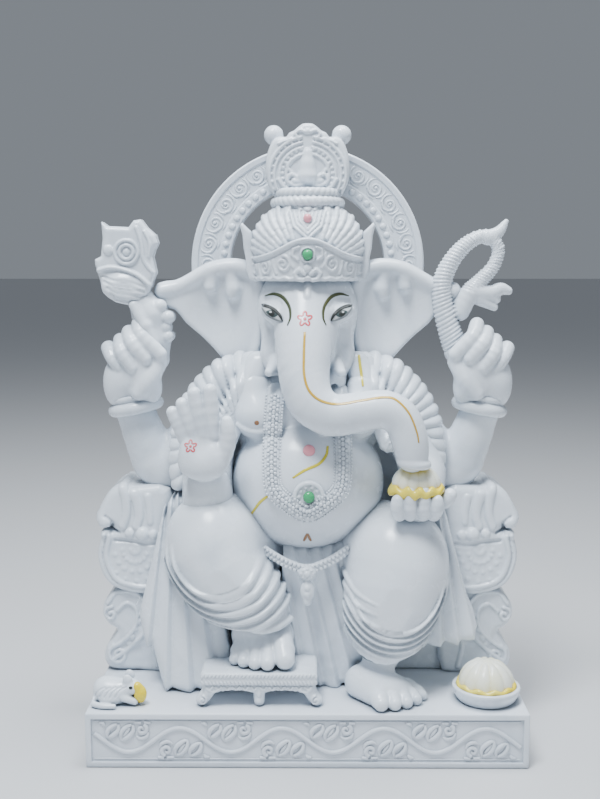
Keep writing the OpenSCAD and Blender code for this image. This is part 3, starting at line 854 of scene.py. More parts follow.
def hanging_folds(middle: Spot, squash: float, first: float, last: float, count: int, height: float,
                  lean: float = 0.0, below: float = 0.0, drift: float = 0.0) -> Distance:
    """A relief of folds that hang one below another, each a wide U.

    Args:
        middle: Centre of the U shapes, in the front view.
        squash: Height of a U against its half width.
        first: Half width of the innermost fold.
        last: Half width of the outermost fold.
        count: How many folds.
        height: How far a fold stands up.
        lean: Turn of the folds, in degrees.
        below: Folds fade out above this height over the centre.
        drift: How far each U moves right for each millimetre that it is wider.

    Returns:
        The relief.
    """
    c, s = math.cos(math.radians(lean)), math.sin(math.radians(lean))

    def relief(p: Samples) -> np.ndarray:
        """Lift of the surface at each sample."""
        u, v = p[0] - middle[0], p[2] - middle[1]
        u, v = u * c - v * s, u * s + v * c
        wide = np.sqrt(u * u + (v / squash) ** 2)
        far = np.sqrt((u - drift * (wide - first)) ** 2 + (v / squash) ** 2)
        step = (far - first) / (last - first) * count
        saw = step - np.floor(step)
        fold = np.where((step > 0) & (step < count), np.sin(np.clip(saw * 1.25, 0, 1) * math.pi), 0)
        fade = np.clip((below - v) / 22, 0, 1)
        return (height * fold * fade).astype(p.dtype)

    return relief


class Loom:
    """Geometry-node tools that repeat an ornament or sweep a strand, then hand back plain meshes."""

    def __init__(self) -> None:
        """Build the two node groups."""
        self.studs = self._studs()
        self.strand = self._strand()

    @staticmethod
    def _group(name: str, inputs: Sequence[tuple[str, str]]) -> bpy.types.NodeTree:
        """A node group with a geometry in and out, and some named inputs."""
        tree = bpy.data.node_groups.new(name, "GeometryNodeTree")
        tree.interface.new_socket("Geometry", in_out="INPUT", socket_type="NodeSocketGeometry")
        for label, kind in inputs:
            tree.interface.new_socket(label, in_out="INPUT", socket_type=kind)
        tree.interface.new_socket("Geometry", in_out="OUTPUT", socket_type="NodeSocketGeometry")
        tree.nodes.new("NodeGroupInput").name = "in"
        tree.nodes.new("NodeGroupOutput").name = "out"
        return tree

    @staticmethod
    def _named(tree: bpy.types.NodeTree, name: str, kind: str) -> bpy.types.NodeSocket:
        """A value carried by each point."""
        node = tree.nodes.new("GeometryNodeInputNamedAttribute")
        node.data_type = kind
        node.inputs["Name"].default_value = name
        return next(s for s in node.outputs if s.enabled and s.name == "Attribute")

    def _times(self, tree: bpy.types.NodeTree, a: bpy.types.NodeSocket,
               b: bpy.types.NodeSocket) -> bpy.types.NodeSocket:
        """Two values multiplied."""
        node = tree.nodes.new("ShaderNodeMath")
        node.operation = "MULTIPLY"
        tree.links.new(a, node.inputs[0])
        tree.links.new(b, node.inputs[1])
        return node.outputs[0]

    def _end(self, tree: bpy.types.NodeTree, geometry: bpy.types.NodeSocket) -> bpy.types.NodeTree:
        """Close a group: make the copies real and set the finish."""
        link = tree.links.new
        real = tree.nodes.new("GeometryNodeRealizeInstances")
        dressed = tree.nodes.new("GeometryNodeSetMaterial")
        link(geometry, real.inputs[0])
        link(real.outputs[0], dressed.inputs[0])
        link(tree.nodes["in"].outputs["Finish"], dressed.inputs["Material"])
        link(dressed.outputs[0], tree.nodes["out"].inputs[0])
        return tree

    def _studs(self) -> bpy.types.NodeTree:
        """A group that sets one ornament on every point."""
        tree = self._group("Studs", [("Ornament", "NodeSocketObject"), ("Size", "NodeSocketFloat"),
                                     ("Finish", "NodeSocketMaterial")])
        link = tree.links.new
        given = tree.nodes["in"].outputs
        info = tree.nodes.new("GeometryNodeObjectInfo")
        put = tree.nodes.new("GeometryNodeInstanceOnPoints")
        turn = tree.nodes.new("FunctionNodeEulerToRotation")
        link(given["Ornament"], info.inputs["Object"])
        link(given["Geometry"], put.inputs["Points"])
        link(info.outputs["Geometry"], put.inputs["Instance"])
        link(self._named(tree, "turn", "FLOAT_VECTOR"), turn.inputs[0])
        link(turn.outputs[0], put.inputs["Rotation"])
        link(self._times(tree, self._named(tree, "size", "FLOAT"), given["Size"]), put.inputs["Scale"])
        return self._end(tree, put.outputs[0])

    def _strand(self) -> bpy.types.NodeTree:
        """A group that sweeps a round wire along lines."""
        tree = self._group("Strand", [("Wire", "NodeSocketFloat"), ("Sides", "NodeSocketInt"),
                                      ("Finish", "NodeSocketMaterial")])
        link = tree.links.new
        given = tree.nodes["in"].outputs
        curve_node = tree.nodes.new("GeometryNodeMeshToCurve")
        radius = tree.nodes.new("GeometryNodeSetCurveRadius")
        ring = tree.nodes.new("GeometryNodeCurvePrimitiveCircle")
        sweep = tree.nodes.new("GeometryNodeCurveToMesh")
        sweep.inputs["Fill Caps"].default_value = True
        link(given["Geometry"], curve_node.inputs["Mesh"])
        link(curve_node.outputs[0], radius.inputs["Curve"])
        link(self._named(tree, "size", "FLOAT"), radius.inputs["Radius"])
        link(given["Sides"], ring.inputs["Resolution"])
        link(given["Wire"], ring.inputs["Radius"])
        link(radius.outputs[0], sweep.inputs["Curve"])
        link(ring.outputs[0], sweep.inputs["Profile Curve"])
        if "Scale" in sweep.inputs:
            link(self._named(tree, "size", "FLOAT"), sweep.inputs["Scale"])
        return self._end(tree, sweep.outputs[0])

    def _run(self, name: str, host: bpy.types.Mesh, tree: bpy.types.NodeTree,
             values: dict[str, object]) -> bpy.types.Object:
        """Run a group over a mesh and keep the result as a plain object."""
        carrier = linked(name + " host", host)
        modifier = carrier.modifiers.new(name, "NODES")
        modifier.node_group = tree
        for item in tree.interface.items_tree:
            if item.in_out == "INPUT" and item.name in values:
                modifier[item.identifier] = values[item.name]
        carrier.update_tag()
        bpy.context.view_layer.update()
        seen = carrier.evaluated_get(bpy.context.evaluated_depsgraph_get())
        mesh = bpy.data.meshes.new_from_object(seen)
        carrier.modifiers.clear()
        bpy.data.objects.remove(carrier)
        mesh.shade_smooth()
        return linked(name, mesh)

    def repeat(self, name: str, ornament: bpy.types.Object, places: Sequence[Place],
               turns: Optional[Sequence[Place]] = None, sizes: Optional[Sequence[float]] = None,
               finish: Finishes = Finishes.MARBLE) -> bpy.types.Object:
        """Set one ornament at many places.

        Args:
            name: Name of the result.
            ornament: The ornament, in metres about its own middle. It's used up.
            places: Where each one sits, in millimetres above the plinth's top.
            turns: Turn of each one about x, y and z, in degrees; none if not given.
            sizes: Size of each one; 1 if not given.
            finish: What it is made of.

        Returns:
            The finished object.
        """
        host = bpy.data.meshes.new(name + " spots")
        host.from_pydata([tuple(v) for v in SITE.metres(np.array(places))], [], [])
        turn = host.attributes.new("turn", "FLOAT_VECTOR", "POINT")
        degrees = np.zeros((len(places), 3)) if turns is None else np.array(turns, float)
        turn.data.foreach_set("vector", np.radians(degrees).ravel())
        size = host.attributes.new("size", "FLOAT", "POINT")
        size.data.foreach_set("value", [1.0] * len(places) if sizes is None else [float(s) for s in sizes])
        done = self._run(name, host, self.studs, {"Ornament": ornament, "Size": 1.0,
                                                  "Finish": finish.material()})
        bpy.data.objects.remove(ornament)
        return done

    def sweep(self, name: str, lines: Sequence[Sequence[Sequence[float]]], wire: float, sides: int = 8,
              finish: Finishes = Finishes.MARBLE, placed: bool = True) -> bpy.types.Object:
        """Sweep a wire along lines.

        Args:
            name: Name of the result.
            lines: Rows of x, y, height and, if wanted, thickness against the wire's.
            wire: Radius of the wire, in millimetres.
            sides: Sides of the wire.
            finish: What it is made of.
            placed: True if the lines are measured from the plinth's top.

        Returns:
            The finished object.
        """
        points, edges, sizes = [], [], []
        for line in lines:
            start = len(points)
            points += [p[:3] for p in line]
            sizes += [p[3] if len(p) > 3 else 1.0 for p in line]
            edges += [(i, i + 1) for i in range(start, len(points) - 1)]
        host = bpy.data.meshes.new(name + " line")
        spots = SITE.metres(np.array(points)) if placed else np.array(points, float) * MM
        host.from_pydata([tuple(v) for v in spots], edges, [])
        size = host.attributes.new("size", "FLOAT", "POINT")
        size.data.foreach_set("value", [float(s) for s in sizes])
        return self._run(name, host, self.strand, {"Wire": wire * MM, "Sides": sides,
                                                   "Finish": finish.material()})


def bead(radii: Place, rings: int = 6, sides: int = 10) -> bpy.types.Object:
    """A small rounded ornament about its own middle, in millimetres."""
    shape = bmesh.new()
    bmesh.ops.create_uvsphere(shape, u_segments=sides, v_segments=rings, radius=1)
    bmesh.ops.scale(shape, vec=[r * MM for r in radii], verts=shape.verts)
    return finished("bead", shape)


def merged(name: str, things: Sequence[bpy.types.Object]) -> bpy.types.Object:
    """Several objects made into one."""
    shape = bmesh.new()
    for thing in things:
        shape.from_mesh(thing.data)
        bpy.data.objects.remove(thing)
    return finished(name, shape)


def shade_by_angle(thing: bpy.types.Object, degrees: float = 35) -> bpy.types.Object:
    """Keep corners sharper than an angle crisp."""
    thing.data.set_sharp_from_angle(angle=math.radians(degrees))
    return thing


def solid(name: str, outline: Sequence[Spot], front: float, back: float, edge: float) -> bpy.types.Object:
    """A plain dressed block with an outline in the front view, bevelled edges and crisp corners.

    Args:
        name: Name of the block.
        outline: Corners in x and height, anticlockwise from the front.
        front: y of the front.
        back: y of the back.
        edge: Width of the bevel.

    Returns:
        The object.
    """
    shape = bmesh.new()
    face = shape.faces.new([shape.verts.new(SITE.metres((x, front, z))) for x, z in outline])
    face.normal_update()
    moved = bmesh.ops.extrude_face_region(shape, geom=[face])
    verts = [v for v in moved["geom"] if isinstance(v, bmesh.types.BMVert)]
    bmesh.ops.translate(shape, vec=(0, (back - front) * MM, 0), verts=verts)
    bmesh.ops.recalc_face_normals(shape, faces=shape.faces)
    bmesh.ops.bevel(shape, geom=shape.edges[:], offset=edge * MM, segments=3, profile=0.5, affect="EDGES")
    bmesh.ops.recalc_face_normals(shape, faces=shape.faces)
    return shade_by_angle(finished(name, shape))


# ---------------------------------------------------------------- painted details


class Brush:
    """Lays thin coats of paint on the front of a form."""

    SINK = 0.9
    STEPS = 60
    PACE = 0.8

    def __init__(self, form: Form, start: float = -130.0, lift: float = 0.3) -> None:
        """Take the form to paint, a y in front of it and how proud the paint stands."""
        self.form, self.start, self.lift = form, start, lift

    def settle(self, spots: np.ndarray) -> np.ndarray:
        """Points on the front of the form, below the given places of the front view."""
        p = np.stack([spots[:, 0], np.full(len(spots), self.start), spots[:, 1]]).astype(np.float32)
        for _ in range(self.STEPS):
            p[1] += np.clip(self.form(p) * self.PACE, -4, 9)
        return p.T.astype(float)

    def _coat(self, name: str, top: np.ndarray, quads: list[tuple[int, ...]],
              rim: list[int]) -> bpy.types.Object:
        """A thin closed coat from its outer face."""
        count = len(top)
        outer = top + np.array([0, -self.lift, 0])
        inner = top + np.array([0, self.SINK, 0])
        faces = list(quads) + [tuple(reversed([i + count for i in q])) for q in quads]
        for a, b in zip(rim, rim[1:] + rim[:1]):
            faces.append((b, a, a + count, b + count))
        return closed_shell(name, np.vstack([outer, inner]), faces)

    def line(self, name: str, spots: Sequence[Sequence[float]]) -> bpy.types.Object:
        """A painted line.

        Args:
            name: Name of the coat.
            spots: x, height and half width at each spot.

        Returns:
            The coat.
        """
        rows = np.array(curve(spots, 6))
        along = np.gradient(rows[:, :2], axis=0)
        across = np.stack([-along[:, 1], along[:, 0]], 1)
        across /= np.linalg.norm(across, axis=1)[:, None] + 1e-9
        flat = np.concatenate([rows[:, :2] + across * rows[:, 2:3] * s for s in (-1, -0.5, 0, 0.5, 1)])
        n = len(rows)
        quads = [(k * n + i, k * n + i + 1, (k + 1) * n + i + 1, (k + 1) * n + i)
                 for k in range(4) for i in range(n - 1)]
        rim = list(range(n)) + [k * n - 1 for k in (2, 3, 4)]
        rim += list(range(5 * n - 1, 4 * n - 1, -1)) + [k * n for k in (3, 2, 1)]
        return self._coat(name, self.settle(flat), quads, rim)

    def patch(self, name: str, outline: Sequence[Spot], rings: int = 4,
              more: float = 0.0) -> bpy.types.Object:
        """A painted area.

        Args:
            name: Name of the coat.
            outline: Spots round the area.
            rings: Rows between the middle and the rim.
            more: How much thicker this coat is than the usual.

        Returns:
            The coat.
        """
        edge = np.array(outline, float)
        heart = edge.mean(0)
        n = len(edge)
        flat = np.concatenate([heart[None]] + [heart + (edge - heart) * (k / rings)
                                               for k in range(1, rings + 1)])
        quads = [(0, 1 + i, 1 + (i + 1) % n) for i in range(n)]
        for k in range(rings - 1):
            a, b = 1 + k * n, 1 + (k + 1) * n
            quads += [(a + i, b + i, b + (i + 1) % n, a + (i + 1) % n) for i in range(n)]
        rim = list(range(1 + (rings - 1) * n, 1 + rings * n))
        top = self.settle(flat) - np.array([0, more, 0])
        return self._coat(name, top, quads, rim)


def disc(centre: Spot, across: float, up: float, lean: float = 0.0, count: int = 20) -> list[Spot]:
    """Spots round an oval in the front view."""
    c, s = math.cos(math.radians(lean)), math.sin(math.radians(lean))
    out = []
    for i in range(count):
        a = 2 * math.pi * i / count
        u, v = across * math.cos(a), up * math.sin(a)
        out.append((centre[0] + u * c - v * s, centre[1] + u * s + v * c))
    return out


# ---------------------------------------------------------------- head


@dataclass
class Head:
    """Head with its trunk, tusk stumps and painted face."""

    skull: tuple[Place, Place] = ((0, 10, 375), (50, 45, 55))
    face: tuple[Place, Place] = ((0, -8, 366), (45, 35, 44))
    cheek: tuple[Place, Place] = ((27, -11, 337), (19, 23, 27))
    trunk: Sequence[Bead] = ((-2, -14, 388, 20), (-2, -29, 362, 26), (-3, -41, 339, 26),
                             (-3, -53, 313, 23.5), (4, -61, 291, 21.5), (23, -65, 279, 19.5),
                             (47, -67, 282, 18.4), (72, -69, 285, 17.6), (88, -69, 276, 17.2),
                             (96, -69, 256, 16.8), (99, -68, 240, 15))
    eye_x: tuple[float, float] = (-34.5, 33)
    eye_z: float = 373

    def beside_eye(self, side: int, u: float, v: float) -> Spot:
        """A place beside an eye's middle.

        Args:
            side: -1 for the eye on the left, 1 for the right.
            u: Distance out from the trunk, along the slanting eye.
            v: Distance up, square to it.

        Returns:
            x and height.
        """
        a = math.radians(34)
        x = self.eye_x[side > 0]
        return x + side * (u * math.cos(a) - v * math.sin(a)), self.eye_z + u * math.sin(a) + v * math.cos(a)

    def form(self) -> Form:
        """The carved head.

        Returns:
            The form.
        """
        head = egg(*self.skull).join(egg(*self.face), 10)
        for side in (-1, 1):
            (x, y, z), radii = self.cheek
            head = head.join(egg((side * x, y, z), radii, -side * 14), 9)
            socket = egg((side * 34, -46, self.eye_z + 1), (15, 6.5, 10), side * -34)
            head = head.less(socket, 8)
            head = head.join(egg((side * 33.5, -30.5, self.eye_z - 0.5), (13, 10.5, 8.5), side * -34), 3)
        for side in (-1, 1):
            spots = [(side * 36, 357), (side * 36, 344), (side * 35, 328)]
            bag = (-12, 7), (-7, 12), (2, 13.5), (9, 11), (14, 6)
            spots += [self.beside_eye(side, u, v) for u, v in bag]
            rows = Brush(head).settle(np.array(spots))
            head = head.less(limb([(x, y - 1, z, r) for (x, y, z), r in zip(rows[:3], (6.5, 9, 9))], 3), 6)
            head = head.less(limb([(x, y - 1, z, 2.6) for x, y, z in rows[3:]], 1), 4)
        head = head.join(limb(curve(self.trunk, 3), 2), 11)
        head = head.join(hoop((100.5, -68, 234), 12, 4.4, (0.12, 0, 1)), 2)
        for x, out in ((-30, -1), (26, 1)):
            tusk = limb([(x, -22, 326, 8), (x + out * 4, -32, 319, 6.5), (x + out * 7, -40, 317, 4.2)])
            head = head.join(tusk, 2)
        mouth = limb([(24, -26, 302, 5), (30, -34, 298, 3)])
        head = head.join(egg((22, -16, 306), (16, 16, 12)), 8).less(mouth, 2)
        drop = Brush(head).settle(np.array([(0, 408), (0, 398), (0, 389)]))
        (_, y0, _), (_, y1, _), (_, y2, _) = ((float(v) for v in row) for row in drop)
        tear = limb([(0, y0 + 1, 409, 3.2), (0, y1 + 1, 398, 3.8), (0, y2 + 1.4, 389, 3.2)], 1)
        return head.join(tear, 1.2)

    def build(self, shop: Workshop) -> None:
        """Order the carved head and paint it."""
        form = self.form()
        shop.order("head", form, ("head", "trunk", "tusk_left", "tusk_right"), 1.4, 9)
        brush = Brush(form)
        for side in (-1, 1):
            self._eye(shop, form, side)
        line = [(-2.6, 357, 1.1), (-3.4, 335, 1.15), (-3, 318, 1.15), (1.5, 304, 1.15), (12, 295, 1.1),
                (28, 291.5, 1.05), (50, 295, 1), (70, 298, 1), (82, 295.5, 0.95), (94, 283, 0.9),
                (101, 266, 0.8), (103, 256, 0.6)]
        shop.place(brush.line("trunk line", line), Finishes.OCHRE)
        for coat in flower_mark(brush, (-2.5, 369), 7.4):
            shop.place(coat, Finishes.RED)

    def _eye(self, shop: Workshop, form: Form, side: int) -> None:
        """Paint one eye and its brow."""

        def tilted(u: float, v: float) -> Spot:
            """A place beside this eye's middle."""
            return self.beside_eye(side, u, v)

        lid = [tilted(-12 + 24 * i / 10, 4.4 * math.sin(math.pi * i / 10) ** 0.8) for i in range(11)]
        lid += [tilted(12 - 24 * i / 8, -3.0 * math.sin(math.pi * i / 8)) for i in range(1, 8)]
        coats = [("eye white", lid, Finishes.EYE_WHITE, 0.0),
                 ("iris", disc(tilted(0, 0.5), 6.2, 3.7), Finishes.IRIS, 0.25),
                 ("pupil", disc(tilted(0, 0.6), 2.9, 2.7), Finishes.BLACK, 0.45),
                 ("glint", disc(tilted(1.7, 1.1), 1.2, 0.9, count=10), Finishes.EYE_WHITE, 0.6)]
        brush = Brush(form, lift=1.1)
        for name, outline, paint, more in coats:
            shop.place(brush.patch(name, outline, 8, more), paint)
        upper = [(*tilted(-12.5 + 26 * i / 6, 4.3 * math.sin(math.pi * i / 6) ** 0.8 + 0.8),
                  1.35 if 0 < i < 6 else 0.5) for i in range(7)]
        lower = [(*tilted(-12 + 24 * i / 5, -3.1 * math.sin(math.pi * i / 5)), 0.9 if 0 < i < 5 else 0.4)
                 for i in range(6)]
        arch = ((-18.5, 0, 0.4), (-16.5, 8, 0.95), (-10, 15.5, 1.4), (0, 19, 1.7), (9, 16.5, 1.4),
                (15.5, 9.5, 0.4))
        brow = [(*tilted(u, v), w) for u, v, w in arch]
        strokes = (("upper lid", upper, Finishes.BLACK, 1.8), ("lower lid", lower, Finishes.LID, 1.6),
                   ("brow", brow, Finishes.BROW, 0.5))
        for name, spots, paint, lift in strokes:
            shop.place(Brush(form, lift=lift).line(name, spots), paint)


def flower_mark(brush: Brush, centre: Spot, reach: float) -> list[bpy.types.Object]:
    """A small painted flower of five petals round a dot.

    Args:
        brush: Brush over the form to paint.
        centre: Middle of the flower, in x and height.
        reach: Distance from the middle to a petal's tip.

    Returns:
        The coats.
    """
    coats = [brush.patch("flower heart", disc(centre, reach * 0.2, reach * 0.2, count=10), 2)]
    for i in range(5):
        a = math.radians(90 + 72 * i)
        spots = []
        for k in range(9):
            t = math.radians(-40 + 80 * k / 8)
            r = reach * (0.42 + 0.5 * math.cos(t * 2.2))
            spots.append((centre[0] + r * math.cos(a + t * 0.7), centre[1] + r * math.sin(a + t * 0.7),
                          reach * 0.1))
        coats.append(brush.line("petal", spots))
    return coats


@dataclass
class Ears:
    """Fanned ears with a thick rolled upper rim."""

    outline: Sequence[Spot] = ((46, 414), (57, 421), (75, 425), (98, 422), (118, 411), (132, 404),
                               (149, 401), (149, 380), (133, 375), (122, 362), (108, 350), (96, 338),
                               (82, 322), (68, 308), (60, 309), (53, 322), (48, 345), (46, 380))
    rim: Sequence[Bead] = ((44, 9, 396, 6), (52, 8, 410, 7), (64, 8, 417, 7.6), (80, 8, 418, 7.6),
                           (98, 8, 414, 7), (114, 9, 405, 6.4), (128, 10, 398, 6), (146, 10, 394, 7))

    def form(self) -> Form:
        """The ear on the right.

        Returns:
            The form.
        """
        ear = plate(closed_curve(self.outline, 2), 8, 19, 4.5)
        dish = egg((88, -9, 371), (41, 22.6, 45), 10)
        ear = ear.less(dish, 5).join(limb(curve(self.rim, 2)), 5)
        ear = ear.join(limb([(76, 9, 408, 6), (74, 8, 396, 6.5), (75, 8, 391, 6)], 3), 5)
        ear = ear.join(limb([(96, 9, 406, 6), (97, 8, 398, 6)], 3), 5)
        front_edge = limb(curve([(50, 9, 400, 4), (47, 8, 370, 4), (50, 8, 340, 4), (58, 9, 316, 4)], 2))
        groove = limb([(131, 2, 398, 1.6), (127, 2, 380, 1.6)])
        return ear.join(front_edge, 5).less(groove, 2)

    def build(self, shop: Workshop) -> None:
        """Order both ears."""
        form = self.form()
        shop.order("ear right", form, ("ear_right",), 1.4)
        shop.order("ear left", form.mirrored(), ("ear_left",), 1.4)


# ---------------------------------------------------------------- crown


@dataclass
class Crown:
    """Tiara, dome, collar and the tall crest in front of the halo."""

    centre: float = 8
    band_r: float = 52
    band: tuple[float, float] = (404, 431)
    dome: Place = (55.5, 45, 50)

    def _round(self, p: Samples) -> tuple[np.ndarray, np.ndarray]:
        """Chart that runs round the head: distance round, and height."""
        return np.arctan2(p[0], -(p[1] - self.centre)) * self.band_r, p[2]

    def tiara(self) -> Form:
        """The band with its raised front, wings and scroll relief.

        Returns:
            The form.
        """
        low, high = self.band
        body = Form(lambda p: np.maximum(
            np.sqrt(p[0] ** 2 + ((p[1] - self.centre) * 1.02) ** 2) - self.band_r - (p[2] - low) * 0.08,
            np.abs(p[2] - (low + self._top(p[0], p[1])) / 2) - (self._top(p[0], p[1]) - low) / 2))
        relief = Relief((-170, low - 6), (170, high + 22), chart=self._round)
        for side in (-1, 1):
            for x in range(24, 157, 22):
                top = 441 - min(x, 46) * 0.28
                middle = (side * x, (low + top) / 2 + 1)
                relief.line(spiral(middle, 8.2, 1.6, 90, side), 1.5, 2.0, 0.6)
                relief.lines([[(side * (x + 8), middle[1] - 9), (side * (x + 11), middle[1]),
                               (side * (x + 10), middle[1] + 8)]], 1.4, 1.5)
                relief.dot((side * (x + 11), middle[1] - 11), 1.6, 1.4)
        bottom = [(u, low + 2.4 + 0.9 * math.cos(u * 0.55)) for u in range(-168, 169, 2)]
        crest = [(u, self._edge(u) - 2) for u in range(-168, 169, 2)]
        relief.line(bottom, 1.7, 1.7).line(crest, 2.0, 2.2)
        relief.line([(u, self._edge(u) - 6) for u in range(-168, 169, 2)], 0.9, -0.8)
        for side in (-1, 1):
            relief.lines([[(side * 3, 411), (side * 8, 415), (side * 12, 411), (side * 10, 406),
                           (side * 5, 405)]], 2.2, 2.6)
            relief.lines([[(side * 9, 424), (side * 14, 428), (side * 13, 434), (side * 8, 436)]], 1.4, 2.0)
            relief.lines([[(side * 14, 417), (side * 17, 423), (side * 17, 430)]], 1.2, 1.4)
        relief.dot((0, 416), 4, 3).dot((0, 429), 6.2, 1.6)
        ring = [(6.4 * math.cos(a / 4), 429 + 6.4 * math.sin(a / 4)) for a in range(27)]
        relief.line(ring, 1.1, 2.6)
        wing = plate([(50, 403), (57.5, 405), (60.5, 414), (61, 426), (63, 436), (64, 448), (66.5, 458),
                      (64.5, 461), (59.5, 456), (55, 452), (50, 440), (47, 420)], -3, 11, 3)
        wing = wing.less(limb([(56.5, -5, 412, 1.2), (58, -5, 440, 1.2)]), 1.5)
        band = body.raised(relief)
        return band.join(wing, 2).join(wing.mirrored(), 2)

    def _edge(self, u: float) -> float:
        """Height of the tiara's upper edge at a distance round the head."""
        return self.band[0] + 24 + 17 * math.exp(-(u / 30) ** 2)

    def _top(self, x: np.ndarray, y: np.ndarray) -> np.ndarray:
        """Height of the tiara's upper edge at each sample."""
        u = np.arctan2(x, -(y - self.centre)) * self.band_r
        return self.band[0] + 24 + 17 * np.exp(-(u / 30) ** 2)

    def cap(self) -> Form:
        """The dome with its leaf ridges and the shield of nested chevrons.

        Returns:
            The form.
        """
        dome = egg((0, self.centre, 436), self.dome).less(under(424, 300))
        relief = Relief((-64, 395), (64, 490))
        for side in (-1, 1):
            for k in range(8):
                a = math.radians(8 + 12 * k)
                start = (side * (14 + 3.4 * k), 444 - 2.4 * k)
                end = (side * (13 + 46 * math.sin(a)), 437 + 44 * math.cos(a))
                bend = (start[0] * 0.4 + end[0] * 0.6 + side * 3, start[1] * 0.5 + end[1] * 0.5 + 3)
                rib = curve([start, bend, end], 7)
                for j in range(5):
                    at = int((j + 0.5 * (k % 2)) * len(rib) / 5.5)
                    relief.line(rib[at:at + 3], 2.7, 2.4, 0.8)
                relief.line(curve([(start[0] + side * 3, start[1]), (bend[0] + side * 3.6, bend[1] - 2),
                                   (end[0] + side * 4, end[1] - 5)], 5), 1.2, 1.1, 0.6)
            for k in range(4):
                w = 17 - 4.2 * k
                relief.line([(side * w, 471 - k), (side * w * 0.78, 456 + 2.2 * k), (0, 444 + 4.4 * k)],
                            1.7, 2.6 - 0.2 * k)
            relief.line(curve([(side * 3, 479), (side * 9, 476), (side * 15, 478), (side * 19, 472)], 4),
                        2.6, 2.8)
        relief.dot((0, 475), 5, 3).dot((-7, 473), 2.4, 2).dot((7, 473), 2.4, 2)
        return dome.raised(relief)

    def collar(self) -> Form:
        """Two stacked rope rings under the crest.

        Returns:
            The form.
        """
        def rope(z: float, r: float, wire: float, tilt: float) -> Form:
            """One ring with slanting grooves."""
            ring = hoop((0, 10, z), r, wire)

            def twist(p: Samples) -> np.ndarray:
                """Lift of the rope's strands."""
                a = np.arctan2(p[0], -(p[1] - 10))
                return 0.9 * np.sqrt(np.abs(np.sin(a * 17 + (p[2] - z) * tilt))) - 0.5

            return ring.raised(twist)

        core = drum((0, 10), 31, 470, 493, 3)
        return core.join(rope(480, 31.5, 5, 0.34), 1).join(rope(489, 29, 4.4, -0.34), 1).join(
            hoop((0, 10, 473.5), 30, 2.6), 2)

    def crest(self) -> Form:
        """The fan-shaped crest with its nested arcs, bud and trefoil.

        Returns:
            The form.
        """
        half = [(0, 486), (26, 487), (33, 490), (38.5, 497), (41, 508), (40.5, 522), (37, 534), (32.5, 541),
                (26, 543.5), (21, 543), (18, 547), (13.5, 549), (10, 552), (5, 555.5), (0, 556)]
        whole = closed_curve([(-x, z) for x, z in half[:0:-1]] + half, 2)
        plank = plate(whole, -4, 39, 5)
        relief = Relief((-52, 474), (52, 562))
        for side in (-1, 1):
            for r, w, h in ((37.5, 1.7, 2.3), (32.5, 1.4, 1.8), (27.5, 1.3, 1.7), (21, 1.6, 2.0)):
                arc = []
                for i in range(15):
                    a = math.radians(-28 + 108 * i / 14)
                    arc.append((side * r * math.cos(a), 506 + r * 0.98 * math.sin(a)))
                relief.line(arc, w, h)
            for i in range(9):
                a = math.radians(-22 + 104 * i / 8.5)
                relief.dot((side * 34.8 * math.cos(a), 506 + 34.6 * math.sin(a)), 1.4, 1.7)
                relief.dot((side * 24.6 * math.cos(a), 507 + 24.4 * math.sin(a)), 1.9, 1.7)
            relief.line(curve([(side * 5, 497), (side * 13, 496), (side * 20, 501), (side * 16, 507),
                               (side * 10, 504)], 4), 2.2, 2.8)
            relief.line(curve([(side * 2, 492), (side * 12, 491), (side * 22, 494), (side * 28, 502)], 4),
                        2.2, 2.8)
            relief.line(curve([(side * 16, 509), (side * 20, 515), (side * 15, 521)], 4), 1.7, 2.2)
            relief.line(curve([(side * 2, 547), (side * 8, 549), (side * 12, 545), (side * 8, 541)], 4),
                        1.6, 2.2)
            relief.line(curve([(side * 16, 541), (side * 22, 539), (side * 28, 536)], 4), 1.4, 2.0)
        relief.dot((0, 548), 3, 2.4)
        fan = plank.raised(relief)
        bud = limb([(0, -2, 506, 10.5), (0, -2, 516, 7.6), (0, -2, 527, 5.6)], 3).join(
            limb([(-13, -4, 500.5, 3.2), (13, -4, 500.5, 3.2)]), 1.5)
        fan = fan.join(bud, 1.5)
        for side in (-1, 1):
            stem = limb([(side * 29, 16, 538, 6), (side * 33.5, 16, 546.5, 8.9)])
            fan = fan.join(stem, 3).join(egg((side * 33.5, 16, 546.5), (9.4, 9.4, 9.4)), 2)
        return fan

    def build(self, shop: Workshop) -> None:
        """Order the crown's pieces."""
        shop.order("tiara", self.tiara(), ("crown_band", "crown_wings"), 1.05, 4)
        shop.order("crown dome", self.cap(), ("crown_dome", "crown_band"), 1.05, 5, replaced=("crown_dome",))
        shop.order("crown collar", self.collar(), ("crown_collar",), 0.95, 6)
        shop.order("crest", self.crest(), ("crown_crest", "crown_knobs"), 1.05, 8)


# ---------------------------------------------------------------- body


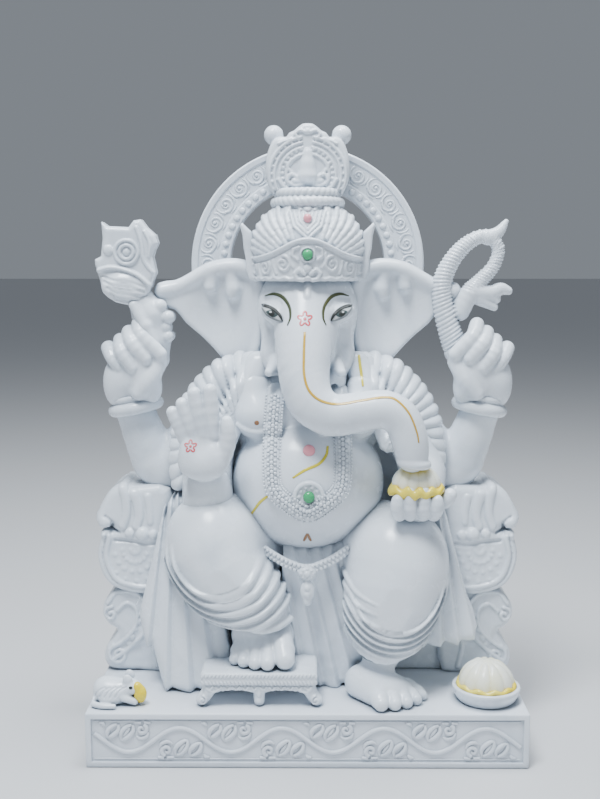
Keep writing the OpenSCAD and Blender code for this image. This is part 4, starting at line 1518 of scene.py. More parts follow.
@dataclass
class Body:
    """Chest, belly, shawl, garland and girdle."""

    belly: tuple[Place, Place] = ((0, 2, 203), (77, 68, 71))
    chest: tuple[Place, Place] = ((0, 15, 268), (84, 45, 50))
    neck: tuple[Place, Place] = ((0, 14, 306), (46, 32, 40))
    breast: tuple[Place, Place] = ((44, -16, 272), (30, 24, 25))
    upper_arm: Sequence[Bead] = ((56, 2, 322, 12), (55, -11, 300, 16), (51, -22, 274, 18.5))
    armlet: Sequence[Spot] = ((34, 263), (42, 259.5), (51, 258.5), (60, 260.5), (68, 265))
    shawl: Sequence[Bead] = ((40, 18, 322, 14), (66, 14, 317, 17), (92, 11, 301, 18), (109, 8, 281, 17),
                             (119, 3, 259, 16), (125, -3, 234, 13), (126, -8, 205, 11))

    def torso(self) -> Form:
        """The bare chest and belly.

        Returns:
            The form.
        """
        (x, y, z), radii = self.breast
        breasts = egg((x, y, z), radii).join(egg((-x, y, z), radii), 6)
        arms = limb(self.upper_arm, 4)
        trunk = egg(*self.chest).join(egg(*self.neck), 12).join(breasts, 7)
        trunk = trunk.join(arms.join(arms.mirrored(), 0), 5)
        rows = Brush(trunk).settle(np.array(self.armlet))
        band = limb(curve([(x, y - 0.6, z, 2.6) for x, y, z in rows], 2))
        body = egg(*self.belly).join(trunk.join(band.join(band.mirrored(), 0), 1), 5)
        navel = limb([(0, -62, 161, 1.6), (0, -60, 155, 3.6)], 1)
        return body.less(navel, 2)

    def cloak(self) -> Form:
        """The shawl over the right shoulder, with its pleats.

        Returns:
            The form.
        """
        cloth = limb(curve(self.shawl, 2), 2)
        inner = limb([(48, -6, 322, 13), (62, -14, 296, 14), (74, -20, 268, 13), (80, -20, 246, 10)], 3)
        middle = limb([(84, 0, 312, 14), (98, -4, 286, 15), (104, -8, 262, 13)], 3)
        cloth = cloth.join(inner, 9).join(middle, 8)
        pleats = fan_pleats((62, 254), 19, 3.4, 8)

        def outer(p: Samples) -> np.ndarray:
            """Pleats that fade away towards the neck."""
            return pleats(p) * np.clip((p[0] - 46) / 24, 0.12, 1)

        return cloth.raised(outer)

    def garland_line(self) -> list[Place]:
        """The garland's line: down one side of the chest, round and up the other.

        Returns:
            Spots along it.
        """
        spots = [(-31, 296), (-33, 272), (-34, 248), (-34, 223), (-31, 206), (-18, 194), (0, 184)]
        spots += [(-x, z) for x, z in spots[-2::-1]]
        brush = Brush(self.torso())
        return [tuple(row) for row in brush.settle(np.array(curve(spots, 5)))]

    def build(self, shop: Workshop, loom: Loom) -> None:
        """Order the body and its ornaments."""
        torso = self.torso()
        shop.order("torso", torso, ("torso",), 1.7, 8)
        cloak = self.cloak()
        shop.order("shawl right", cloak, ("shawl_right",), 1.35, 7)
        shop.order("shawl left", cloak.mirrored(), ("shawl_left",), 1.35, 7)
        self._garland(shop, loom, torso)
        self._girdle(shop, loom)
        self._paint(shop, torso)

    def _garland(self, shop: Workshop, loom: Loom, torso: Form) -> None:
        """The garland of leaves with its medallion."""
        line = self.garland_line()
        strip = all_of([limb([(a[0], a[1], a[2], 9), (b[0], b[1], b[2], 9)], 0, 0.5)
                        for a, b in zip(line, line[1:])], 0)
        at = (1.4, -63, 201)
        medal = Form(lambda p: np.maximum(np.sqrt((p[0] - at[0]) ** 2 + (p[2] - at[2]) ** 2) - 15.5,
                                          np.abs(p[1] + 60) - 7.5))
        ring = Relief((-20, 180), (24, 222))
        ring.line([(at[0] + 13.2 * math.cos(a / 6), at[2] + 13.2 * math.sin(a / 6)) for a in range(39)],
                  1.9, 2.2)
        for i in range(10):
            a = math.radians(36 * i)
            ring.dot((at[0] + 9.4 * math.cos(a), at[2] + 9.4 * math.sin(a)), 1.9, 1.6)
        medal = medal.raised(ring)
        shop.order("garland", strip.join(medal, 1), ("garland", "medallion"), 1.1, 5)
        rows = np.array(line)[:, [0, 2]]
        lengths = run_lengths(rows)
        spots, sizes = [], []

        def put(s: float, across: float, size: float, along: float = 0.0) -> None:
            """Note one bead beside the garland's line."""
            spot = place_on(rows, lengths, s + along)
            ahead = place_on(rows, lengths, s + along + 1) - spot
            spots.append(spot + np.array([-ahead[1], ahead[0]]) * across)
            sizes.append(size)

        for s in np.arange(3, lengths[-1] - 3, 2.9):
            for side in (-1, 1):
                put(s, side * 8.0, 0.8)
        for s in np.arange(5, lengths[-1] - 5, 8.4):
            put(s, 0, 1.2)
            for k in range(6):
                a = math.radians(60 * k + 30)
                put(s, 3.7 * math.cos(a), 1.0, 3.4 * math.sin(a))
            for side in (-1, 1):
                put(s, side * 5.6, 0.65, 4.2)
        places = Brush(strip.join(medal, 1)).settle(np.array(spots)) + np.array([0, -0.2, 0])
        shop.place(loom.repeat("garland flowers", bead((1.9, 1.7, 1.9), 5, 7), places, sizes=sizes))
        stones = ((at[0], -68.5, at[2]), 5.6), ((0, -46.8, 429), 5.0)
        gems = merged("green gems", [self._gem(spot, r) for spot, r in stones])
        shop.place(gems, Finishes.GREEN, ("green_gems",))
        brush = Brush(torso)
        rose = [tuple(brush.settle(np.array([(1.5, 243.0)]))[0]), (0, -33.4, 463.5)]
        pinks = merged("pink gems", [self._gem(rose[0], 6.0), self._gem(rose[1], 4.2)])
        shop.place(pinks, Finishes.PINK, ("pink_gems",))

    def _gem(self, spot: Place, radius: float) -> bpy.types.Object:
        """A round cabochon."""
        stone = bead((radius, radius * 0.75, radius), 10, 18)
        stone.data.transform(Matrix.Translation(Vector(SITE.metres(np.array(spot)))))
        return stone

    def _girdle(self, shop: Workshop, loom: Loom) -> None:
        """The beaded girdle under the belly and its pendant."""
        line = curve([(-66, -10, 158), (-52, -30, 147), (-36, -44, 139), (-18, -51, 131), (0, -54, 127),
                      (18, -51, 132), (36, -44, 141), (52, -30, 151), (66, -10, 164)], 4)
        strip = all_of([limb([(*a, 4.6), (*b, 4.6)], 0, 0.8) for a, b in zip(line, line[1:])], 0)
        knot = egg((0, -57, 124), (9, 5, 7)).join(egg((0, -57, 106), (7, 4.6, 11)), 2)
        knot = knot.join(egg((0, -57, 95), (4, 4, 4)), 2)
        dots = Relief((-12, 88), (12, 134))
        for z in (124, 110, 103):
            dots.dot((0, z), 3, 1.5)
        for a in range(0, 360, 45):
            dots.dot((6 * math.cos(math.radians(a)), 124 + 5 * math.sin(math.radians(a))), 1.3, 1.2)
        shop.order("girdle", strip.join(knot.raised(dots), 1.5), ("belt", "belt_pendant"), 1.0, 6)
        rows = np.array(line)
        lengths = run_lengths(rows)
        places = []
        for s in np.arange(2, lengths[-1], 4.4):
            spot = place_on(rows, lengths, s)
            places += [tuple(spot + np.array([0, -3.4, 2.4])), tuple(spot + np.array([0, -3.4, -2.4]))]
        shop.place(loom.repeat("girdle beads", bead((2.1, 2.1, 2.1), 6, 8), places))

    def _paint(self, shop: Workshop, torso: Form) -> None:
        """The painted thread, nipple and navel."""
        brush = Brush(torso)
        over_chest = [(19.5, 247, 1.1), (18, 239, 1.3), (11, 231.5, 1.3), (-2, 226, 1.3), (-14, 218.5, 0.8)]
        over_belly = [(-37.5, 200, 1.1), (-46, 192, 1.3), (-55, 177.5, 0.9)]
        for name, spots in (("thread over the chest", over_chest), ("thread over the belly", over_belly)):
            shop.place(brush.line(name, spots), Finishes.THREAD)
        thread = [(50.5, 332, 1.2), (51.5, 322, 1.4), (53, 311, 1.3), (54, 302, 0.9)]
        over = Brush(torso.join(self.cloak(), 1))
        shop.place(over.line("thread at the shoulder", thread), Finishes.THREAD)
        shop.place(brush.patch("nipple", disc((-49, 268), 2.4, 2.4, count=12), 2), Finishes.BROWN)
        for side in (-1, 1):
            fleck = [(side * 0.5, 162, 0.6), (side * 1.8, 157, 1.4), (side * 3.6, 152.5, 0.9)]
            shop.place(brush.line("navel shade", fleck), Finishes.BROWN)


# ---------------------------------------------------------------- arms and what they hold


@dataclass
class RearArm:
    """One of the two raised rear arms with its fist, seen on the right side."""

    arm: Sequence[Bead] = ((86, 26, 282, 23), (122, 26, 240, 23), (150, 26, 212, 23), (164, 22, 238, 21),
                           (174, 17, 268, 18), (178, 15, 282, 17))
    index: Sequence[Bead] = ((168, 0, 361, 7.2), (163, -8, 349, 7.6), (146, -8, 332, 7))
    fingers: Sequence[Sequence[Bead]] = (
        ((178, 2, 353, 7.4), (172, -10, 342, 7.8), (160, -11, 328, 6.6)),
        ((187, 3, 345, 7.2), (183, -9, 333, 7.6), (173, -11, 319, 6.4)),
        ((199, 4, 337, 7.6), (194, -5, 328, 6.4), (187, -7, 319, 5.4)))

    def form(self) -> Form:
        """Arm, palm and closed fingers.

        Returns:
            The form.
        """
        arm = limb(curve(self.arm, 2), 6)
        palm = limb([(176, 14, 290, 19), (177, 11, 306, 21), (172, 10, 324, 20), (164, 10, 338, 15)], 6)
        heel = egg((191, 6, 305), (14, 15, 26), -6).join(egg((162, 0, 308), (15, 14, 27), 18), 9)
        hand = palm.join(heel, 10).join(egg((166, -4, 331), (16, 10, 16), -20), 5)
        for finger in (self.index, *self.fingers):
            hand = hand.join(limb(curve(finger, 3), 1), 1.6)
        thumb = limb(curve([(147, -2, 324, 8), (156, -8, 308, 8.5), (168, -9, 293, 7)], 3))
        return arm.join(hand.join(thumb, 5), 6)

    def bangle(self) -> Form:
        """The band round the wrist."""
        ring = hoop((174.5, 15.5, 277), 22, 6.4, (0.2, 0, 1))
        return ring.join(hoop((177, 14, 287), 20.5, 3.2, (0.2, 0, 1)), 2)

    def build(self, shop: Workshop) -> None:
        """Order both rear arms, their fists and their bangles."""
        form, ring = self.form(), self.bangle()
        for side, arm, band in (("right", form, ring), ("left", form.mirrored(), ring.mirrored())):
            nodes = (f"rear_arm_{side}", f"rear_hand_{side}")
            shop.order(f"rear arm {side}", arm, nodes, 1.35, 8)
            shop.order(f"bangle {side}", band, (f"rear_hand_{side}",), 1.15, 12, replaced=())


@dataclass
class Axe:
    """The axe held up on the left."""

    blade: Sequence[Spot] = ((-203, 462), (-197, 457.5), (-176, 456.5), (-171, 463), (-164, 464),
                             (-158, 456), (-150, 449), (-147.5, 441), (-151, 434), (-153, 428), (-150, 413),
                             (-157, 392), (-166, 384), (-178, 380), (-190, 383), (-202, 393), (-206, 406),
                             (-210, 420), (-210, 425), (-204, 428), (-202, 445))

    def head(self) -> Form:
        """The axe head with its bosses.

        Returns:
            The form.
        """
        body = plate(self.blade, -4, 20, 5)
        relief = Relief((-216, 376), (-140, 468))
        for r, h in ((11.5, 2.2), (6.8, 2.4)):
            relief.line([(-178 + r * math.cos(a / 5), 432 + r * math.sin(a / 5)) for a in range(33)], 2.0, h)
        relief.dot((-178, 432), 4, 2.2).dot((-196, 434), 5.2, 2.4)
        relief.line(curve([(-168, 456), (-163, 440), (-161, 424), (-152, 412)], 4), 2.0, 2.0)
        relief.line(curve([(-160, 452), (-155, 440), (-156, 428)], 4), 1.6, 1.8)
        relief.line(curve([(-206, 414), (-195, 417), (-180, 415), (-166, 409), (-156, 400)], 4), 2.4, 3.0)
        for k in range(4):
            relief.line(curve([(-203 + 3 * k, 409 - 6 * k), (-190 + k, 404 - 6 * k), (-174, 402 - 6 * k),
                               (-162, 398 - 5 * k)], 4), 1.6, -1.1)
        cheek = egg((-181, -3, 397), (22, 7, 14), 4)
        return body.join(cheek, 4).raised(relief)

    def handle(self) -> Form:
        """The shaft with its scrolled knobs.

        Returns:
            The form.
        """
        shaft = limb([(-168, 9, 388, 13), (-158, 10, 370, 17.5), (-154, 11, 345, 16), (-151, 11, 326, 12)], 4)
        for x, z, r in ((-139, 368, 6.5), (-139, 349, 5.6), (-147, 379, 7), (-141, 358, 5)):
            shaft = shaft.join(limb([(x, 2, z, r), (x, 16, z, r)]), 2)
        ridge = limb([(-172, -3, 380, 5), (-160, -6, 360, 6), (-152, -5, 340, 5)], 2)
        return shaft.join(ridge, 3)

    def build(self, shop: Workshop) -> None:
        """Order the axe."""
        shop.order("axe head", self.head(), ("axe_head",), 0.95, 4)
        shop.order("axe handle", self.handle(), ("axe_handle",), 1.1, 6)


@dataclass
class Noose:
    """The looped rope held up on the right."""

    rope: Sequence[Bead] = ((150, 10, 334, 13), (142, 9, 355, 11.5), (135, 8, 380, 10.5), (134, 8, 402, 10),
                            (142, 8, 422, 9), (155, 8, 438, 8), (170, 8, 447, 7.2), (182, 8, 446, 7),
                            (189, 8, 434, 6.8), (184, 8, 418, 7), (172, 8, 404, 8), (161, 8, 392, 9.5),
                            (152, 9, 374, 10))

    def form(self) -> Form:
        """The rope with its twist, leaf tip and forked tail.

        Returns:
            The form.
        """
        line = curve(self.rope, 3)
        loop = limb(line, 1)
        ribs = Relief((118, 326), (205, 470))
        for i in range(1, 33):
            x, _, z, r = line[i]
            ax, _, az, _ = line[i + 1]
            ux, uz = ax - x, az - z
            size = math.hypot(ux, uz)
            ux, uz = ux / size, uz / size
            for k in (0.0, 0.5):
                cx, cz = x + (ax - x) * k, z + (az - z) * k
                ribs.line([(cx - uz * r - ux * 3, cz + ux * r - uz * 3),
                           (cx + uz * r + ux * 3, cz - ux * r + uz * 3)], 1.1, -1.0)
        loop = loop.raised(ribs)
        tip = limb(curve([(178, 8, 446, 7), (189, 8, 452, 5.5), (196, 8, 462, 2.6)], 3), 1)
        tail = limb(curve([(166, 8, 393, 9), (182, 8, 392, 7.5), (192, 8, 396, 6), (200, 8, 394, 4)], 3), 1)
        lower = limb([(172, 8, 386, 7), (186, 8, 378, 4)])
        fork = lower.join(limb([(180, 8, 392, 6), (188, 8, 386, 4.5)]), 2)
        return loop.join(tip, 2).join(tail, 2).join(fork, 2)

    def build(self, shop: Workshop) -> None:
        """Order the noose."""
        shop.order("noose", self.form(), ("noose",), 1.05, 6)


@dataclass
class FrontArms:
    """The blessing arm on the left, the offering arm on the right and the sweets."""

    blessing: Sequence[Bead] = ((-90, 8, 276, 22), (-99, -12, 222, 23), (-98, -28, 188, 23),
                                (-97, -40, 212, 19.5))
    offering: Sequence[Bead] = ((90, 8, 276, 22), (114, -4, 222, 22), (110, -30, 194, 20),
                                (106, -46, 190, 17))
    blessing_tips: Sequence[Sequence[Bead]] = (
        ((-116, -58, 256, 7.8), (-122, -60, 270, 7), (-127.5, -61, 281, 6)),
        ((-108, -59, 258, 8.2), (-113, -61, 274, 7.6), (-118, -62, 289, 6.4)),
        ((-99, -60, 260, 8.4), (-103, -62, 280, 7.8), (-106.5, -63, 299, 6.6)),
        ((-90, -60, 260, 8.2), (-91, -62, 282, 7.6), (-92, -63, 302, 6.6)))

    def blessing_form(self) -> Form:
        """The raised forearm and open palm.

        Returns:
            The form.
        """
        arm = limb(curve(self.blessing, 3), 6)
        palm = egg((-100, -58, 246), (21, 10.5, 24)).join(egg((-99, -61, 232), (23.5, 13, 17)), 6)
        palm = palm.join(egg((-112, -63, 240), (10, 9, 18), 4), 4)
        palm = palm.join(egg((-88, -64, 236), (10, 9, 16), -4), 4)
        for tip in self.blessing_tips:
            palm = palm.join(limb(curve(tip, 2), 1), 1.2)
        thumb = limb(curve([(-82, -60, 234, 8), (-76, -63, 250, 7.6), (-75, -65, 264, 6.6),
                            (-76, -65, 273, 5.4)], 2), 2)
        hand = palm.join(thumb, 3).less(limb([(-84, -72, 262, 3.4), (-84, -74, 246, 2.4)]), 3)
        return arm.join(hand, 2.5)

    def offering_form(self) -> Form:
        """The forearm and the cupped hand.

        Returns:
            The form.
        """
        arm = limb(curve(self.offering, 3), 6)
        cup = egg((105, -56, 188), (24, 16, 12)).join(egg((105, -50, 194), (22, 12, 10)), 4)
        for x, top in ((85, 199), (97, 207), (110, 207), (122, 199)):
            cup = cup.join(limb(curve([(x + (105 - x) * 0.12, -66, 184, 6.8), (x, -73, 192, 6.8),
                                       (x, -74, top, 5.8)], 2), 1), 1.2)
        thumb = limb(curve([(121, -54, 192, 8), (131, -60, 196, 7.4), (136, -62, 202, 6.4)], 2), 1)
        return arm.join(cup, 4).join(thumb, 2)

    def sweets_form(self) -> Form:
        """The heap of sweets under the trunk's tip.

        Returns:
            The form.
        """
        heap = egg((104, -58, 212), (23, 19, 18))

        def lobes(p: Samples) -> np.ndarray:
            """Upright grooves between the sweets."""
            a = np.arctan2(p[0] - 104, -(p[1] + 58))
            return 1.6 * np.sqrt(np.abs(np.sin(a * 6))) - 0.9

        return heap.raised(lobes)

    def build(self, shop: Workshop) -> None:
        """Order the arms, hands and sweets and paint the palm."""
        blessing = self.blessing_form()
        shop.order("blessing arm", blessing, ("blessing_arm", "blessing_hand", "bangles"), 1.25, 6)
        shop.order("offering arm", self.offering_form(), ("offering_arm", "offering_hand"), 1.2, 6)
        shop.order("sweets in hand", self.sweets_form(), ("hand_sweets",), 1.0, 5, Finishes.CREAM)
        rim = Form(lambda p: np.sqrt((np.sqrt(((p[0] - 104) / 1.15) ** 2 + (p[1] + 58) ** 2) - 19.5) ** 2
                                     + ((p[2] - 206 - 1.6 * np.sin(p[0] * 0.55)) * 0.8) ** 2) - 4.2)
        shop.order("yellow syrup", rim, ("hand_sweets",), 1.0, 6, Finishes.YELLOW, ())
        for coat in flower_mark(Brush(blessing), (-110, 250), 6.2):
            shop.place(coat, Finishes.RED)


# ---------------------------------------------------------------- legs and cloth


@dataclass
class Legs:
    """Both legs under the cloth, their feet, and the cloth that hangs round them."""

    left: Sequence[Bead] = ((-52, 14, 140, 42), (-92, -26, 150, 45), (-82, -43, 122, 42), (-61, -46, 98, 35),
                            (-45, -44, 76, 29))
    right: Sequence[Bead] = ((54, 14, 138, 42), (88, -26, 132, 49), (84, -42, 104, 45), (80, -46, 80, 39),
                             (77, -43, 64, 31))

    def left_form(self) -> Form:
        """The leg on the stool.

        Returns:
            The form.
        """
        leg = limb(curve(self.left, 2), 8).join(egg((-93, -34, 150), (44, 42, 46)), 8)
        folds = hanging_folds((-88, 150), 0.98, 40, 84, 5, 4.2, 8, -2, 0.25)
        hem = limb(curve([(-68, -52, 76, 3), (-56, -68, 73, 3.6), (-44, -73, 72, 3.8), (-28, -69, 74, 3.6),
                          (-16, -56, 78, 3)], 2))
        return leg.raised(folds).less(under(72), 5).join(hem, 4)

    def right_form(self) -> Form:
        """The leg that reaches the plinth.

        Returns:
            The form.
        """
        leg = limb(curve(self.right, 2), 8).join(egg((90, -34, 130), (46, 42, 48)), 8)
        folds = hanging_folds((86, 122), 1.06, 44, 76, 5, 4.0, -6, -8)
        inner = Relief((20, 30), (80, 140))
        for k in range(3):
            inner.line(curve([(34 + 2 * k, 122 - 12 * k), (46 + 2 * k, 109 - 11 * k), (68, 100 - 10 * k)],
                             4), 3.2, 2.8, 0.3)
        hem = limb(curve([(40, -40, 62, 4.5), (54, -62, 50, 5.5), (76, -71, 44, 6), (98, -65, 52, 5.5),
                          (114, -48, 66, 4.5)], 3), 3)
        return leg.raised(folds).raised(inner).join(hem, 5)

    @staticmethod
    def left_drape() -> Form:
        """The cloth that falls to the plinth beside the left leg.

        Returns:
            The form.
        """
        shape = closed_curve([(-118, 190), (-140, 184), (-156, 130), (-166, 92), (-169, 70), (-154, 36),
                              (-141, 6), (-134, 0), (-100, 0), (-78, 4), (-78, 40), (-90, 80), (-100, 120),
                              (-104, 170)], 2)
        upper = plate(shape, -30, 20, 12)

        def slope(p: Samples) -> np.ndarray:
            """The cloth stands further forward near its foot."""
            return np.clip((120 - p[2]) * 0.2, -8, 24).astype(p.dtype)

        cloth = Form(lambda p: upper(np.stack([p[0], p[1] + slope(p), p[2]])))
        return cloth.raised(fan_pleats((-134, 260), 34, 5.5, 40, True))

    @staticmethod
    def right_drape() -> Form:
        """The shorter cloth beside the right leg.

        Returns:
            The form.
        """
        shape = closed_curve([(112, 184), (134, 184), (146, 150), (160, 100), (172, 60), (160, 46),
                              (140, 44), (112, 42), (104, 80), (104, 140)], 2)
        upper = plate(shape, -26, 20, 10)

        def slope(p: Samples) -> np.ndarray:
            """The cloth stands further forward near its hem."""
            return np.clip((140 - p[2]) * 0.12, -6, 12).astype(p.dtype)

        cloth = Form(lambda p: upper(np.stack([p[0], p[1] + slope(p), p[2]])))
        return cloth.raised(fan_pleats((120, 250), 38, 5, 30, True))

    @staticmethod
    def sash() -> Form:
        """The pleated cloth between the legs.

        Returns:
            The form.
        """
        shape = closed_curve([(-52, 150), (0, 142), (50, 150), (44, 104), (48, 60), (50, 16), (40, 2),
                              (-6, 2), (-18, 40), (-38, 90)], 2)
        cloth = plate(shape, -36, 16, 9).join(egg((0, 0, 134), (60, 34, 14)), 8)
        fold = limb(curve([(26, -33, 132, 9), (34, -31, 100, 10), (42, -29, 60, 10), (50, -27, 34, 10)], 3),
                    2, 0.7)
        tail = limb(curve([(4, -33, 128, 8), (12, -32, 90, 9), (20, -31, 50, 10), (26, -30, 4, 11)], 3), 2,
                    0.7)
        pleats = fan_pleats((-96, 560), 110, 3.6, 0, True)
        return cloth.join(fold, 3).join(tail, 3).raised(pleats)

    @staticmethod
    def left_foot() -> Form:
        """The foot on the stool.

        Returns:
            The form.
        """
        foot = egg((-44, -40, 56), (31, 22, 24)).join(egg((-46, -56, 46), (29, 14, 13)), 6)
        toes = (((-27, -52, 62, 12), (-23, -67, 50, 11), (-21.5, -76, 44, 9.6)),
                ((-38, -54, 60, 8.8), (-38, -69, 48, 7.6), (-38, -79, 41.6, 7.2)),
                ((-47, -54, 59, 8.2), (-49, -67, 47, 7.2), (-50, -76, 41, 6.8)),
                ((-56, -51, 57, 7.8), (-59, -63, 46, 6.8), (-61, -71, 40.6, 6.4)),
                ((-63, -47, 55, 7.2), (-67.5, -57, 45, 6.2), (-70, -64, 40, 5.8)))
        for toe in toes:
            foot = foot.join(limb(toe, 1), 2)
        return foot.join(limb([(-46, -38, 66, 22), (-48, -38, 84, 20)]), 6).less(under(34.2), 0.4)

    @staticmethod
    def right_foot() -> Form:
        """The foot on the plinth.

        Returns:
            The form.
        """
        foot = egg((62, -52, 13), (25, 22, 17), 8).join(egg((78, -64, 12), (26, 22, 13.5), 12), 7)
        foot = foot.join(limb([(50, -58, 10, 10), (64, -78, 9, 9.5)], 1), 8)
        toes = (((66, -76, 11, 10), (69, -88, 9, 9), (70, -93, 7.4, 7.4)),
                ((78, -74, 11, 8.6), (81.5, -85, 8.4, 7.6), (83, -91, 6.4, 6.6)),
                ((87, -69, 10.5, 8), (92, -80, 8, 7.2), (94.5, -86, 6, 6.2)),
                ((94, -62, 10, 7.6), (101, -72, 7.6, 6.8), (104.5, -78, 5.6, 5.8)),
                ((98, -54, 10, 7.2), (107, -62, 7.2, 6.4), (111, -67, 5.4, 5.4)))
        for toe in toes:
            foot = foot.join(limb(toe, 1), 2)
        return foot.join(limb([(68, -46, 20, 14), (74, -42, 40, 20)]), 6).less(under(0), 0.5)

    def build(self, shop: Workshop) -> None:
        """Order the legs, feet and cloth."""
        ground = under(0.2)
        shop.order("leg left", self.left_form(), ("leg_left",), 1.5, 6)
        shop.order("leg right", self.right_form(), ("leg_right",), 1.5, 6)
        shop.order("drape left", self.left_drape().less(ground), ("side_drape_left",), 1.45, 10)
        shop.order("drape right", self.right_drape(), ("side_drape_right",), 1.45, 10)
        shop.order("sash", self.sash().less(ground), ("centre_sash",), 1.4, 10)
        shop.order("foot left", self.left_foot(), ("foot_left",), 1.1, 14)
        shop.order("foot right", self.right_foot(), ("foot_right",), 1.1, 8)


# ---------------------------------------------------------------- throne


@dataclass
class Throne:
    """Seat, stepped back slab, and the beasts under the elbows with their scrolled legs."""

    half: float = 140
    seat_h: float = 128
    front: float = 14
    back: float = 88
    thick: float = 40

    def beast(self) -> Form:
        """The beast head on the right: brow, snout, chin, jaw and curls.

        Returns:
            The form.
        """
        brow = plate(closed_curve([(140, 194), (176, 196), (190, 199), (203, 190), (213, 172), (216, 162),
                                   (210, 155), (200, 156), (196, 150), (190, 138), (140, 130)], 3), 0, 70,
                     9)
        jaw = plate(closed_curve([(138, 146), (160, 156), (190, 152), (207, 148), (214, 132), (213, 112),
                                  (203, 94), (186, 86), (160, 84), (140, 92)], 3), 0, 70, 9)
        snout = limb([(199, 16, 170, 13), (206, 16, 163, 11)])
        snout = snout.join(limb([(206, 4, 159, 7), (206, 30, 159, 7)]), 3)
        chin = limb([(206, 4, 148, 5.2), (206, 40, 148, 5.2)])
        relief = Relief((134, 78), (224, 206))
        for k in range(2):
            relief.line(curve([(208 - 6 * k, 146 - k), (212 - 7 * k, 122), (201 - 6 * k, 97 + 3 * k),
                               (174 - 2 * k, 87 + 5 * k), (148, 88 + 5 * k)], 5), 2.8, 2.4)
        relief.line(curve([(187, 196), (184, 182), (184, 168), (188, 156)], 5), 5.0, 3.4, 0.8)
        relief.line(curve([(176, 190), (172, 178), (171, 166), (174, 156)], 5), 5.5, 3.0, 0.8)
        relief.line(curve([(162, 186), (160, 172), (160, 160)], 5), 4.0, 2.0, 0.8)
        relief.dot((168, 148), 7, 4.4).dot((181, 149), 5, 3.2).dot((157, 147), 5, 3.0)
        relief.line(curve([(150, 138), (164, 137), (180, 140), (196, 141)], 5), 2.4, -2.2)
        for j in range(4):
            for k in range(8):
                a = math.radians(-4 - 22 * (k + 0.5 * (j % 2)))
                r = 26 - 7.5 * j
                relief.dot((176 + r * 1.15 * math.cos(a), 132 + r * 1.3 * math.sin(a)), 2.6, 1.0)
        relief.line(curve([(206, 166), (199, 160), (200, 155)], 4), 1.6, -1.6)
        relief.line(curve([(213, 151), (203, 153), (192, 149)], 4), 1.6, -2.4)
        head = brow.join(jaw, 4).join(snout, 4).join(egg((194, 33, 153), (13, 29, 9)), 3).join(chin, 1.5)
        return head.raised(relief)

    def leg(self) -> Form:
        """The scrolled leg under the right beast.

        Returns:
            The form.
        """
        knee = plate(closed_curve([(140, 94), (176, 92), (196, 88), (209, 76), (212, 62), (206, 50),
                                   (196, 44), (190, 34), (182, 30), (140, 30)], 3), 4, 66, 7)
        shank = plate(closed_curve([(140, 60), (186, 62), (196, 46), (203, 34), (210, 24), (211, 10),
                                    (202, 1), (176, 0), (140, 0)], 3), 6, 66, 7)
        relief = Relief((134, -6), (222, 100))
        relief.line(curve([(206, 74), (196, 86), (176, 84), (164, 66), (168, 44), (184, 26), (200, 14)], 6),
                    2.4, 2.4)
        relief.line(curve([(196, 66), (186, 74), (176, 66), (178, 48), (192, 32), (206, 24)], 6), 2.0, 2.2)
        for k in range(6):
            relief.dot((171 + 3.4 * k, 62 - 8 * k), 3.2, 1.8)
        relief.line(spiral((196, 18), 11, 1.4, 60, -1), 2.2, 2.4, 0.7)
        relief.line(spiral((203, 62), 8, 1.2, 100, -1), 1.8, 2.2)
        relief.line(curve([(150, 86), (154, 60), (160, 30), (156, 6)], 5), 2.4, 2.0)
        return knee.join(shank, 4).raised(relief)

    def build(self, shop: Workshop) -> None:
        """Order the carved parts and dress the plain blocks."""
        w, h = self.half, self.seat_h
        seat = solid("seat", [(-w, 0), (w, 0), (w, h), (-w, h)], self.front, self.back, 2)
        shop.place(seat, replaced=("throne_seat",))
        slab = solid("back slab", [(-w, h - 6), (w, h - 6), (w, h + 58), (134, h + 66), (92, h + 104),
                                   (74, h + 186), (70, h + 190), (-70, h + 190), (-74, h + 186),
                                   (-92, h + 104), (-134, h + 66), (-w, h + 58)], self.back - self.thick,
                     self.back - 0.5, 2.5)
        shop.place(slab, replaced=("throne_back",))
        beast, leg = self.beast(), self.leg().less(under(0.2))
        for side, b, g in (("right", beast, leg), ("left", beast.mirrored(), leg.mirrored())):
            shop.order(f"beast {side}", b, (f"armrest_{side}",), 1.3, 4)
            shop.order(f"throne leg {side}", g, (f"throne_leg_{side}",), 1.3, 4)


# ---------------------------------------------------------------- halo


